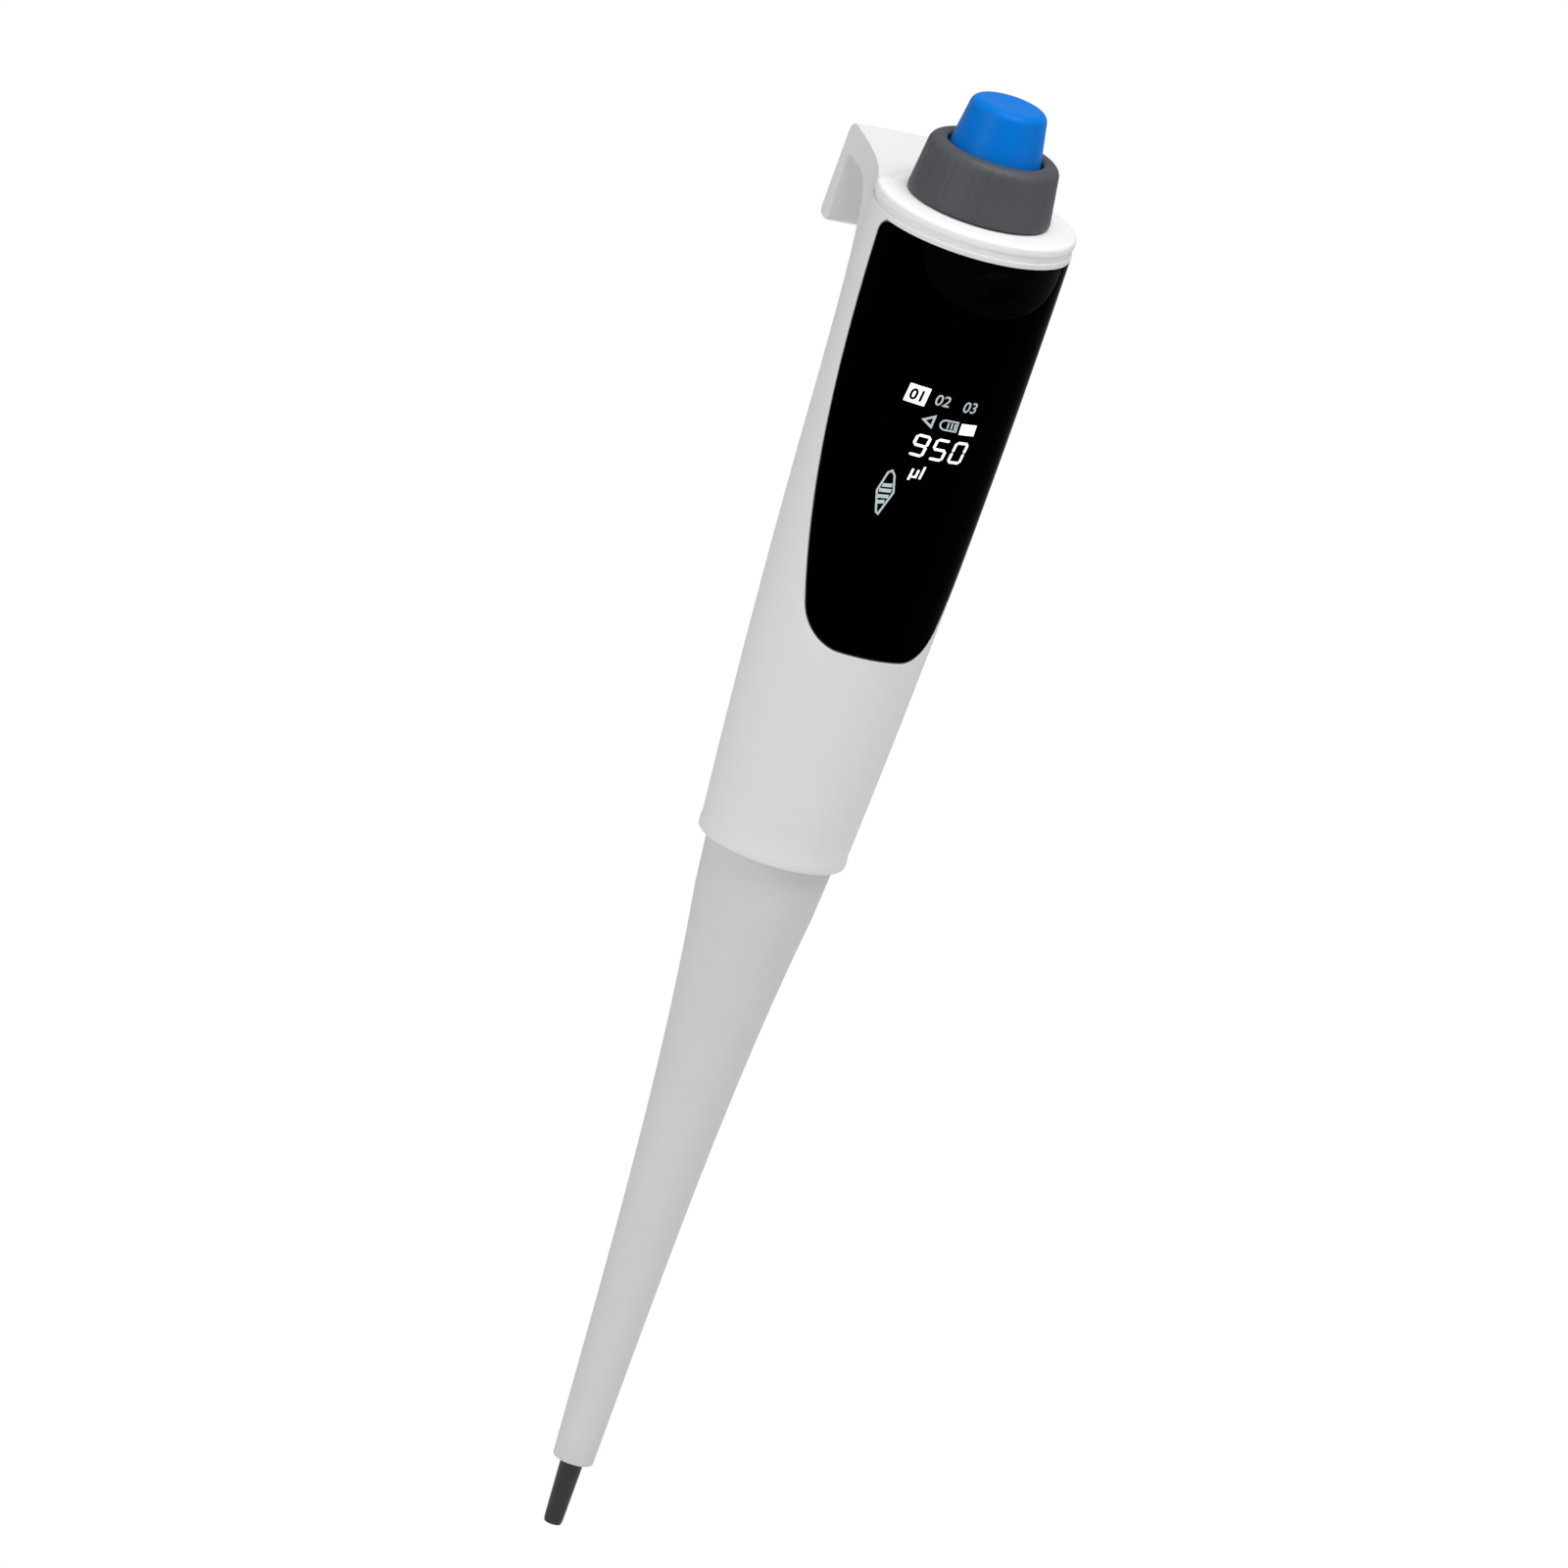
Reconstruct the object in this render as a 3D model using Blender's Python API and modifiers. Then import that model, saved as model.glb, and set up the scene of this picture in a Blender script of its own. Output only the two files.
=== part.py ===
"""Electronic pipette: an assembly of separate parts around one upright axis.

Heights are measured up the axis from the open end of the tip cone.
The display and the trigger face -Y and the finger hook reaches out along +Y.
The world origin is the middle of the flat land under the hook, where the pipette hangs.
"""

import math

import bmesh
import bpy
from mathutils import Matrix, Vector

MM = 0.001

# Clearances between neighbouring parts
GAP = 0.3 * MM
RUNNING_GAP = 0.35 * MM

# How far united pieces run into each other
WELD = 0.2 * MM

# Lengths up the axis
TIP_CONE_LENGTH = 12.3 * MM
SLEEVE_FLARE_LENGTH = 109.4 * MM
SLEEVE_COLLAR = 10.7 * MM
HANDLE_LENGTH = 121.0 * MM
COVER_HEIGHT = 3.1 * MM
KNOB_HEIGHT = 10.8 * MM
BUTTON_RISE = 8.8 * MM

SLEEVE_LOW = TIP_CONE_LENGTH
SLEEVE_SHOWN = SLEEVE_FLARE_LENGTH + SLEEVE_COLLAR
HANDLE_LOW = SLEEVE_LOW + SLEEVE_SHOWN
HANDLE_TOP = HANDLE_LOW + HANDLE_LENGTH
COVER_TOP = HANDLE_TOP + COVER_HEIGHT
KNOB_LOW = COVER_TOP + GAP
KNOB_TOP = KNOB_LOW + KNOB_HEIGHT
BUTTON_TOP = KNOB_TOP + BUTTON_RISE

# Handle body
HANDLE_TOP_R = 18.6 * MM
HANDLE_WAIST_R = 13.6 * MM
HANDLE_BULGE = 0.74
HANDLE_LIP_R = 13.7 * MM
HANDLE_LIP_HEIGHT = 2.6 * MM
HANDLE_LIP_STEP = 0.8 * MM
HANDLE_LIP_EDGE = 0.4 * MM
HANDLE_WALL = 1.35 * MM
PANEL_WALL = 2.6 * MM
SEAM_Y = 7.5 * MM
HANDLE_STEPS = 40

# Finger hook
HOOK_REACH = 40.2 * MM
HOOK_HALF_WIDTH = 9.6 * MM
HOOK_DROP = 18.8 * MM
HOOK_TONGUE = 4.6 * MM
HOOK_LAND_DEPTH = 5.2 * MM
HOOK_LAND_LENGTH = 6.0 * MM
HOOK_SWEEP = 40.0 * MM
HOOK_SWEEP_POWER = 2.8
HOOK_ROOT = 4.0 * MM
HOOK_LEAN = 1.6 * MM
HOOK_CROWN_R = 3.0 * MM
HOOK_INNER_R = 2.0 * MM
HOOK_FOOT_R = 1.2 * MM
HOOK_EDGE_R = 1.3 * MM

# Front panel and trigger
PANEL_RIM = 1.4 * MM
PANEL_ABOVE_FOOT = 42.6 * MM
PANEL_THICKNESS = 1.1 * MM
PANEL_LOW_ANGLE = math.radians(45.0)
PANEL_HIGH_ANGLE = math.radians(82.5)
PANEL_EDGE_POWER = 2.45
PANEL_LOW_CORNER = 6.3 * MM
PANEL_HIGH_CORNER = 2.6 * MM
PANEL_LEDGE = 2.0 * MM
RECESS_PROUD = 0.6 * MM
TRIGGER_HALF_WIDTH = 13.4 * MM
TRIGGER_DEPTH = 9.8 * MM
TRIGGER_THICKNESS = 2.2 * MM
TRIGGER_DISH = 1.0 * MM
TRIGGER_DISH_REACH = 8.0 * MM
TRIGGER_DISH_WIDE = 0.86
TRIGGER_DISH_TALL = 0.62
TRIGGER_DISH_DROP = 0.42
TRIGGER_ROUNDNESS = 0.8
TRIGGER_TRAVEL = 0.8 * MM
TRIGGER_POST_RISE = 1.6 * MM
TRIGGER_POST_HALF_WIDTH = 1.5 * MM
TRIGGER_POST_HALF_HEIGHT = 1.2 * MM

# Knob and button
KNOB_LOW_R = 13.25 * MM
KNOB_HIGH_R = 12.2 * MM
KNOB_SHOULDER = 1.9 * MM
KNOB_FLUTES = 32
KNOB_FLUTE_DEPTH = 0.22 * MM
KNOB_FLUTE_HALF_WIDTH = 0.55 * MM
KNOB_FOOT_EDGE = 0.5 * MM
KNOB_WELL_EDGE = 0.4 * MM
KNOB_FLOOR_PLATE = 2.0 * MM
KNOB_HUB_R = 9.2 * MM
KNOB_HUB_WALL = 2.0 * MM
BUTTON_LOW_R = 8.6 * MM
BUTTON_HIGH_R = 7.2 * MM
BUTTON_EDGE = 1.4 * MM
BUTTON_WALL = 1.3 * MM
BUTTON_DISH = 0.25 * MM
BUTTON_PLATE = 2.4 * MM
EJECT_TRAVEL = 7.0 * MM

# Ejector sleeve, bar and stem
SLEEVE_LOW_R = 3.72 * MM
SLEEVE_TAPER = 4.0 * MM
SLEEVE_FLARE_R = 10.92 * MM
SLEEVE_TOP_R = 11.85 * MM
SLEEVE_FLARE_POWER = 3.4
SLEEVE_WALL = 1.1 * MM
SLEEVE_MOUTH = 3.0 * MM
SLEEVE_EDGE = 0.35 * MM
SLEEVE_INSIDE = 18.5 * MM
BAR_THICKNESS = 1.4 * MM
BAR_HALF_WIDTH = 2.6 * MM
BAR_CLIP_HEIGHT = 2.0 * MM
ARM_HEIGHT = 2.6 * MM
ARM_HALF_WIDTH = 3.6 * MM
ARM_CLEARANCE = 2.4 * MM
STEM_R = 2.5 * MM
STEM_PIN_R = 1.5 * MM
STEM_PIN_SHORT = 0.6 * MM

# Ejector spring
SPRING_R = 4.6 * MM
SPRING_WIRE_R = 0.4 * MM
SPRING_TURNS = 5

# Tip cone and cylinder
TIP_END_R = 1.6 * MM
TIP_ROOT_R = 2.1 * MM
TIP_BORE_R = 0.55 * MM
TIP_MOUTH = 2.0 * MM
TIP_LEAD = 0.9 * MM
TIP_LEAD_STEP = 0.12 * MM
TIP_SHOULDER = 1.0 * MM
TIP_TUBE_R = 2.3 * MM
TIP_TUBE_BORE_R = 0.9 * MM
TIP_TUBE_LENGTH = 76.0 * MM
TIP_NECK = 2.0 * MM
TIP_NECK_STEP = 0.6 * MM
TIP_SPIGOT = 3.0 * MM
PISTON_R = 4.5 * MM
PISTON_LENGTH = 43.2 * MM
PISTON_EDGE = 0.6 * MM
STROKE = 15.7 * MM
CYLINDER_BELOW_HANDLE = 41.7 * MM
CYLINDER_WALL = 1.1 * MM
CYLINDER_HEAD_LENGTH = 7.0 * MM
CYLINDER_LIP = 1.7 * MM
SEAL_THICKNESS = 1.7 * MM
SEAL_HEIGHT = 2.4 * MM
SEAL_ABOVE_LIP = 2.2 * MM
O_RING_R = 0.75 * MM
RETAINER_HEIGHT = 1.6 * MM

# Drive
FRAME_WALL = 1.5 * MM
FRAME_LENGTH = 26.4 * MM
FRAME_FLANGE = 2.6 * MM
MOTOR_R = 9.5 * MM
MOTOR_LENGTH = 23.7 * MM
MOTOR_PLATE = 1.5 * MM
ROTOR_WALL = 1.9 * MM
ROTOR_HUB_R = 3.0 * MM
SCREW_R = 1.7 * MM
SCREW_EDGE = 0.4 * MM
COUPLER_HEIGHT = 3.7 * MM
COUPLER_FLOOR = 1.0 * MM
COUPLER_R = 5.0 * MM
EAR_HALF_WIDTH = 1.4 * MM

# Electronics and cradle
CELL_R = 8.0 * MM
CELL_EDGE = 0.5 * MM
CELL_CAP_R = 2.6 * MM
CELL_CAP_HEIGHT = 1.0 * MM
CRADLE_RAIL = 1.5 * MM
CRADLE_RAIL_WIDTH = 8.0 * MM
CRADLE_PLATE = 1.5 * MM
CRADLE_TOP_R = 11.5 * MM
CRADLE_OUTSIDE_CELL = 3.2 * MM
CRADLE_ROUND_SCREW = 2.0 * MM
CRADLE_BLOCK_HALF_WIDTH = 2.2 * MM
CRADLE_BLOCK_HALF_HEIGHT = 2.4 * MM
CRADLE_BLOCK_ROOT = 1.5 * MM
CRADLE_WEB = 1.0 * MM
CONTACT_PLATE = 1.1 * MM
BOARD_THICKNESS = 1.2 * MM
BOARD_RAISED = 4.0 * MM
BOARD_HALF_WIDTH = 9.0 * MM
BOARD_FACE_Y = 9.4 * MM
DISPLAY_HALF_WIDTH = 9.5 * MM
DISPLAY_LENGTH = 34.0 * MM
DISPLAY_THICKNESS = 2.2 * MM
DISPLAY_BELOW_TOP = 39.4 * MM
SWITCH_DEPTH = 1.9 * MM
SWITCH_HALF_WIDTH = 2.0 * MM
SOCKET_HALF_WIDTH = 3.8 * MM
SOCKET_HALF_HEIGHT = 1.4 * MM
SOCKET_WALL = 0.5 * MM
SOCKET_BELOW_TOP = 37.7 * MM
SOCKET_SUNK = 0.6 * MM

# Parts under the cover
COVER_EDGE = 0.9 * MM
COVER_LIP = 1.9 * MM
COVER_STEP = 0.35 * MM
COVER_PLATE = 2.8 * MM
COVER_SKIRT_R = 13.8 * MM
COVER_SKIRT_WALL = 1.4 * MM
COVER_SKIRT_DROP = 2.6 * MM
ENCODER_TEETH = 16
ENCODER_TOOTH = 0.6 * MM
ENCODER_RING_R = 11.8 * MM
ENCODER_RING_HEIGHT = 2.0 * MM
ENCODER_BOARD_HEIGHT = 1.2 * MM
BUSH_FLANGE = 1.6 * MM
BUSH_FLANGE_R = 9.0 * MM

# Screws
CASE_SCREW_HEAD_R = 1.7 * MM
CASE_SCREW_HEAD = 1.0 * MM
CASE_SCREW_R = 0.9 * MM
CASE_SCREW_LENGTH = 6.5 * MM
CASE_SCREW_X = 6.6 * MM
CASE_SCREW_BELOW_TOP = 28.5 * MM
CASE_SCREW_SPACING = 37.0 * MM
MOTOR_SCREW_HEAD_R = 1.0 * MM
MOTOR_SCREW_HEAD = 1.0 * MM
MOTOR_SCREW_R = 0.6 * MM
MOTOR_SCREW_ANGLE = math.radians(40)
SCREW_HOLE_REACH = 12.0 * MM


def handle_radius(height):
    """Outer radius of the handle, which swells from its waist to the top."""
    waist = HANDLE_LOW + HANDLE_LIP_HEIGHT
    share = (height - waist) / (HANDLE_TOP - waist)
    share = min(max(share, 0.0), 1.0)
    swell = share * (1 + HANDLE_BULGE) - HANDLE_BULGE * share * share
    return HANDLE_WAIST_R + (HANDLE_TOP_R - HANDLE_WAIST_R) * swell


def wall_at(height):
    """The wall is thin round the sleeve and thicker behind the panel."""
    thick_from = PANEL_LOW - 2 * PANEL_LEDGE
    thin_to = thick_from - 3 * PANEL_LEDGE
    share = (height - thin_to) / (thick_from - thin_to)
    share = min(max(share, 0.0), 1.0)
    return HANDLE_WALL + (PANEL_WALL - HANDLE_WALL) * share


def cavity_radius(height):
    return handle_radius(height) - wall_at(height)


def sleeve_radius(height):
    """Outer radius of the ejector sleeve: a slim taper, then a trumpet, then a straight collar."""
    share = max((height - SLEEVE_LOW) / SLEEVE_FLARE_LENGTH, 0.0)
    if share <= 1.0:
        trumpet = SLEEVE_FLARE_R - SLEEVE_LOW_R - SLEEVE_TAPER
        return SLEEVE_LOW_R + SLEEVE_TAPER * share + trumpet * share ** SLEEVE_FLARE_POWER
    share = min((height - SLEEVE_LOW - SLEEVE_FLARE_LENGTH) / SLEEVE_COLLAR, 1.0)
    return SLEEVE_FLARE_R + (SLEEVE_TOP_R - SLEEVE_FLARE_R) * share


PANEL_TOP = HANDLE_TOP - PANEL_RIM
PANEL_LOW = HANDLE_LOW + PANEL_ABOVE_FOOT
PANEL_LENGTH = PANEL_TOP - PANEL_LOW
SOCKET_MIDDLE = HANDLE_TOP - SOCKET_BELOW_TOP
CASE_SCREW_HIGH = HANDLE_TOP - CASE_SCREW_BELOW_TOP
CASE_SCREW_LOW = CASE_SCREW_HIGH - CASE_SCREW_SPACING
CAVITY_TOP_R = HANDLE_TOP_R - PANEL_WALL

# Heights worked out downwards from the cover
ENCODER_RING_TOP = COVER_TOP - COVER_PLATE - 4 * GAP
ENCODER_RING_LOW = ENCODER_RING_TOP - ENCODER_RING_HEIGHT
HUB_LOW = ENCODER_RING_LOW - 3 * GAP
ENCODER_BOARD_TOP = HUB_LOW - GAP
ENCODER_BOARD_LOW = ENCODER_BOARD_TOP - ENCODER_BOARD_HEIGHT
BUSH_TOP_OF_FLANGE = ENCODER_BOARD_LOW - GAP
BUSH_LOW = BUSH_TOP_OF_FLANGE - BUSH_FLANGE
CRADLE_TOP = BUSH_LOW - GAP
KNOB_FLOOR = KNOB_LOW + KNOB_FLOOR_PLATE
BUSH_R = KNOB_HUB_R - KNOB_HUB_WALL - GAP
BUSH_BORE_R = STEM_R + RUNNING_GAP
BUSH_TOP = KNOB_FLOOR - GAP
BUTTON_LOW = KNOB_FLOOR + RUNNING_GAP + EJECT_TRAVEL
BUTTON_CEILING = BUTTON_TOP - BUTTON_PLATE

# Heights worked out upwards from the cylinder
CYLINDER_LOW = HANDLE_LOW - CYLINDER_BELOW_HANDLE
CYLINDER_BORE_R = PISTON_R + GAP
CYLINDER_R = CYLINDER_BORE_R + CYLINDER_WALL
PISTON_LOW = CYLINDER_LOW + TIP_SPIGOT + 3 * GAP
PISTON_TOP = PISTON_LOW + PISTON_LENGTH
COUPLER_LOW = PISTON_TOP + GAP
COUPLER_TOP = COUPLER_LOW + COUPLER_HEIGHT
FRAME_TOP = COUPLER_TOP + STROKE + GAP
FRAME_FLANGE_LOW = FRAME_TOP - FRAME_FLANGE
FRAME_LOW = FRAME_FLANGE_LOW - FRAME_LENGTH
FRAME_R = SLEEVE_FLARE_R - SLEEVE_WALL - GAP
FRAME_BORE_R = FRAME_R - FRAME_WALL
CYLINDER_LIP_TOP = FRAME_LOW - GAP
CYLINDER_LIP_LOW = CYLINDER_LIP_TOP - CYLINDER_LIP
CYLINDER_TOP = CYLINDER_LIP_LOW + CYLINDER_HEAD_LENGTH
CYLINDER_HEAD_R = FRAME_BORE_R - GAP
SEAL_LOW = CYLINDER_LIP_LOW + SEAL_ABOVE_LIP
SEAL_TOP = SEAL_LOW + SEAL_HEIGHT
SEAL_R = CYLINDER_BORE_R + SEAL_THICKNESS
MOTOR_LOW = FRAME_TOP + GAP
MOTOR_TOP = MOTOR_LOW + MOTOR_LENGTH
SCREW_TOP = MOTOR_TOP - 2 * MOTOR_PLATE
CRADLE_LOW = MOTOR_TOP + GAP
SHELF_LOW = SCREW_TOP + STROKE + GAP
SHELF_TOP = SHELF_LOW + CRADLE_PLATE
CELL_LOW = SHELF_TOP + GAP
ARM_TOP = CRADLE_TOP - CRADLE_PLATE - ARM_CLEARANCE
ARM_LOW = ARM_TOP - ARM_HEIGHT
CONTACT_TOP = ARM_LOW - EJECT_TRAVEL - GAP
CONTACT_LOW = CONTACT_TOP - CONTACT_PLATE
CELL_TOP = CONTACT_LOW - GAP
CELL_LENGTH = CELL_TOP - CELL_LOW
SLEEVE_TOP = HANDLE_LOW + SLEEVE_INSIDE
BAR_LOW = SLEEVE_TOP + GAP
BAR_INNER_Y = SLEEVE_TOP_R - SLEEVE_WALL + GAP / 2
BAR_OUTER_Y = BAR_INNER_Y + BAR_THICKNESS
BAR_SLOT_Y = BAR_INNER_Y - RUNNING_GAP
BAR_SLOT_HALF_WIDTH = BAR_HALF_WIDTH + RUNNING_GAP

# The hook's land, where the pipette hangs
LAND_Z = COVER_TOP - HOOK_LAND_DEPTH
TONGUE_INNER_Y = HOOK_REACH - HOOK_TONGUE
LAND_END_Y = TONGUE_INNER_Y - HOOK_INNER_R
LAND_MIDDLE_Y = LAND_END_Y - HOOK_LAND_LENGTH / 2

# Board and display
DISPLAY_MIDDLE = PANEL_TOP - DISPLAY_BELOW_TOP
BOARD_LOW = CRADLE_LOW + BOARD_RAISED
BOARD_TOP = CRADLE_TOP
BOARD_BACK_Y = BOARD_FACE_Y - BOARD_THICKNESS
DISPLAY_FRONT_Y = BOARD_FACE_Y + GAP + DISPLAY_THICKNESS
SWITCH_FRONT_Y = BOARD_FACE_Y + GAP + SWITCH_DEPTH
TRIGGER_LOW = PANEL_TOP - TRIGGER_DEPTH
TRIGGER_POST_Z = TRIGGER_LOW + TRIGGER_POST_RISE

MATERIALS = {
    "white_abs": ((0.80, 0.80, 0.80), 0.45, 0.0),
    "grey_abs": ((0.60, 0.60, 0.60), 0.5, 0.0),
    "black_gloss": ((0.004, 0.004, 0.005), 0.08, 0.0),
    "dark_abs": ((0.085, 0.088, 0.095), 0.45, 0.0),
    "blue_abs": ((0.01, 0.16, 0.50), 0.4, 0.0),
    "board_green": ((0.02, 0.18, 0.07), 0.5, 0.0),
    "glass_dark": ((0.02, 0.02, 0.03), 0.1, 0.0),
    "steel": ((0.6, 0.6, 0.62), 0.3, 1.0),
    "brass": ((0.7, 0.5, 0.2), 0.3, 1.0),
    "rubber": ((0.02, 0.02, 0.02), 0.7, 0.0),
    "seal_white": ((0.85, 0.85, 0.82), 0.5, 0.0),
    "cell_wrap": ((0.05, 0.2, 0.35), 0.4, 0.0),
    "magnet": ((0.15, 0.15, 0.16), 0.5, 0.6),
}


def clear_scene():
    for obj in list(bpy.data.objects):
        bpy.data.objects.remove(obj, do_unlink=True)


def new_collection(name):
    collection = bpy.data.collections.new(name)
    bpy.context.scene.collection.children.link(collection)
    return collection


clear_scene()
PARTS = new_collection("electronic_pipette")
CUTTERS = new_collection("cutters")


def new_empty(name, location, parent=None):
    empty = bpy.data.objects.new(name, None)
    empty.empty_display_size = 5 * MM
    empty.location = location
    empty.parent = parent
    PARTS.objects.link(empty)
    return empty


ROOT = new_empty("hook_land_origin", (0, -LAND_MIDDLE_Y, -LAND_Z))


def material(name):
    found = bpy.data.materials.get(name)
    if found:
        return found
    colour, roughness, metallic = MATERIALS[name]
    made = bpy.data.materials.new(name)
    made.use_nodes = True
    shader = made.node_tree.nodes["Principled BSDF"]
    shader.inputs["Base Color"].default_value = (*colour, 1.0)
    shader.inputs["Roughness"].default_value = roughness
    shader.inputs["Metallic"].default_value = metallic
    return made


def add_object(name, mesh, finish=None, location=(0, 0, 0), parent=None):
    """A part when it has a finish, and a cutter when it has none."""
    obj = bpy.data.objects.new(name, mesh)
    obj.location = location
    obj.parent = parent or ROOT
    if finish:
        mesh.materials.append(material(finish))
        PARTS.objects.link(obj)
        mesh.shade_smooth()
        mesh.set_sharp_from_angle(angle=math.radians(35))
    else:
        obj.hide_render = True
        obj.display_type = "WIRE"
        CUTTERS.objects.link(obj)
    return obj


def turned(name, profile, finish=None, steps=40, closed=True, parent=None):
    """A turned part: (radius, height) pairs, down the outer side and back up the inner side."""
    mesh = bpy.data.meshes.new(name)
    shape = bmesh.new()
    verts = [shape.verts.new((radius, 0, height)) for radius, height in profile]
    for first, second in zip(verts, verts[1:]):
        shape.edges.new((first, second))
    if closed:
        shape.edges.new((verts[-1], verts[0]))
    shape.to_mesh(mesh)
    shape.free()
    obj = add_object(name, mesh, finish, parent=parent)
    screw = obj.modifiers.new("turn", "SCREW")
    screw.axis = "Z"
    screw.angle = math.tau
    screw.steps = steps
    screw.render_steps = steps
    screw.use_merge_vertices = True
    screw.merge_threshold = 0.01 * MM
    screw.use_smooth_shade = True
    return obj


def box(name, low, high, finish=None, parent=None):
    mesh = bpy.data.meshes.new(name)
    shape = bmesh.new()
    bmesh.ops.create_cube(shape, size=1.0)
    size = Vector(high) - Vector(low)
    bmesh.ops.scale(shape, vec=size, verts=shape.verts)
    shape.to_mesh(mesh)
    shape.free()
    return add_object(name, mesh, finish, (Vector(low) + Vector(high)) / 2, parent)


def rod(name, radius, length, location, direction="Z", sides=20, finish=None):
    """A round bar centred on its location."""
    mesh = bpy.data.meshes.new(name)
    shape = bmesh.new()
    bmesh.ops.create_cone(
        shape, cap_ends=True, segments=sides, radius1=radius, radius2=radius, depth=length
    )
    if direction == "Y":
        turn = Matrix.Rotation(math.pi / 2, 3, "X")
        bmesh.ops.rotate(shape, matrix=turn, verts=shape.verts)
    shape.to_mesh(mesh)
    shape.free()
    return add_object(name, mesh, finish, location)


def outline(name, points, depth, plane, finish=None, location=(0, 0, 0)):
    """A flat outline given in the named plane, made as deep as asked across it."""
    turns = {"XY": (0, 0, 0), "XZ": (math.pi / 2, 0, 0), "YZ": (math.pi / 2, 0, math.pi / 2)}
    curve = bpy.data.curves.new(name + "_curve", "CURVE")
    curve.dimensions = "2D"
    curve.fill_mode = "BOTH"
    curve.extrude = depth / 2
    spline = curve.splines.new("POLY")
    spline.points.add(len(points) - 1)
    for point, (first, second) in zip(spline.points, points):
        point.co = (first, second, 0, 1)
    spline.use_cyclic_u = True
    guide = bpy.data.objects.new(name + "_curve", curve)
    CUTTERS.objects.link(guide)
    bpy.context.view_layer.update()
    evaluated = guide.evaluated_get(bpy.context.evaluated_depsgraph_get())
    mesh = bpy.data.meshes.new_from_object(evaluated)
    mesh.name = name
    bpy.data.objects.remove(guide, do_unlink=True)
    shape = bmesh.new()
    shape.from_mesh(mesh)
    bmesh.ops.remove_doubles(shape, verts=shape.verts, dist=0.001 * MM)
    bmesh.ops.recalc_face_normals(shape, faces=shape.faces)
    shape.to_mesh(mesh)
    shape.free()
    obj = add_object(name, mesh, finish, location)
    obj.rotation_euler = turns[plane]
    return obj


def boolean(target, other, operation):
    modifier = target.modifiers.new(operation.lower(), "BOOLEAN")
    modifier.operation = operation
    modifier.object = other


def cut(target, *others):
    for other in others:
        boolean(target, other, "DIFFERENCE")


def unite(target, *others):
    for other in others:
        boolean(target, other, "UNION")


def keep_inside(target, other):
    boolean(target, other, "INTERSECT")


def arc(centre_r, centre_z, radius, start, end, count):
    """Points on a quarter or any other stretch of a circle, angles in degrees from +r."""
    points = []
    for index in range(count + 1):
        angle = math.radians(start + (end - start) * index / count)
        points.append((centre_r + radius * math.cos(angle), centre_z + radius * math.sin(angle)))
    return points


def heights(low, high, count):
    return [low + (high - low) * index / count for index in range(count + 1)]


def panel_half_angle(height, margin):
    """How far the panel wraps round the handle at a height, with its edge moved by margin."""
    share = (height - PANEL_LOW) / PANEL_LENGTH
    share = min(max(share, 0.0), 1.0)
    reach = PANEL_HIGH_ANGLE - PANEL_LOW_ANGLE
    side = PANEL_LOW_ANGLE + reach * (1 - (1 - share) ** PANEL_EDGE_POWER)
    arc_length = side * handle_radius(height) + margin
    below_centre = PANEL_LOW + PANEL_LOW_CORNER - height
    if below_centre > 0:
        arc_length -= corner_inset(PANEL_LOW_CORNER + margin, below_centre)
    above_centre = height - (PANEL_TOP - PANEL_HIGH_CORNER)
    if above_centre > 0:
        corner = PANEL_HIGH_CORNER + max(margin, 0.0)
        arc_length -= corner_inset(corner, min(above_centre, PANEL_HIGH_CORNER))
    return arc_length / handle_radius(height)


def corner_inset(radius, offset):
    """How far a round corner draws its edge in, at an offset from the corner's centre."""
    return radius - math.sqrt(max(radius ** 2 - offset ** 2, 0.0))


def panel_rows(margin, top):
    """Row heights, close together at the rounded corners."""
    low = PANEL_LOW - margin
    corner = PANEL_LOW_CORNER + margin
    rows = [low + corner * (1 - math.cos(math.radians(angle))) for angle in (0, 18, 36, 54, 72, 90)]
    high = PANEL_TOP - PANEL_HIGH_CORNER
    rows += heights(low + corner, high, 7)[1:]
    rows += [high + PANEL_HIGH_CORNER * math.sin(math.radians(angle)) for angle in (30, 60, 90)]
    if top > PANEL_TOP:
        rows.append(top)
    return rows


def wrapped_patch(name, proud, thickness, margin, top, columns, finish=None):
    """A patch of the handle's own surface inside the panel's outline, thickened inwards."""
    rows = panel_rows(margin, top)
    mesh = bpy.data.meshes.new(name)
    shape = bmesh.new()
    bmesh.ops.create_grid(shape, x_segments=columns, y_segments=len(rows) - 1, size=0.5)
    for vert in shape.verts:
        height = rows[round((vert.co.y + 0.5) * (len(rows) - 1))]
        angle = 2 * vert.co.x * panel_half_angle(height, margin)
        radius = handle_radius(height) + proud
        vert.co = (radius * math.sin(angle), -radius * math.cos(angle), height)
    shape.to_mesh(mesh)
    shape.free()
    obj = add_object(name, mesh, finish)
    solidify = obj.modifiers.new("wall", "SOLIDIFY")
    solidify.thickness = thickness
    solidify.offset = -1
    return obj


def handle_solid(name, top):
    """The whole outside of the handle as one turned solid."""
    lip_top = HANDLE_LOW + HANDLE_LIP_HEIGHT
    edge = COVER_EDGE
    profile = [(0, top)]
    if top > HANDLE_TOP:
        profile += arc(HANDLE_TOP_R - edge, top - edge, edge, 90, 0, 2)
    profile += [(handle_radius(height), height) for height in heights(HANDLE_TOP, lip_top, 9)]
    profile += [(HANDLE_LIP_R, lip_top - HANDLE_LIP_STEP), (HANDLE_LIP_R, HANDLE_LOW + HANDLE_LIP_EDGE)]
    profile += [(HANDLE_LIP_R - HANDLE_LIP_EDGE, HANDLE_LOW), (0, HANDLE_LOW)]
    return turned(name, profile, steps=HANDLE_STEPS, closed=False)


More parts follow.
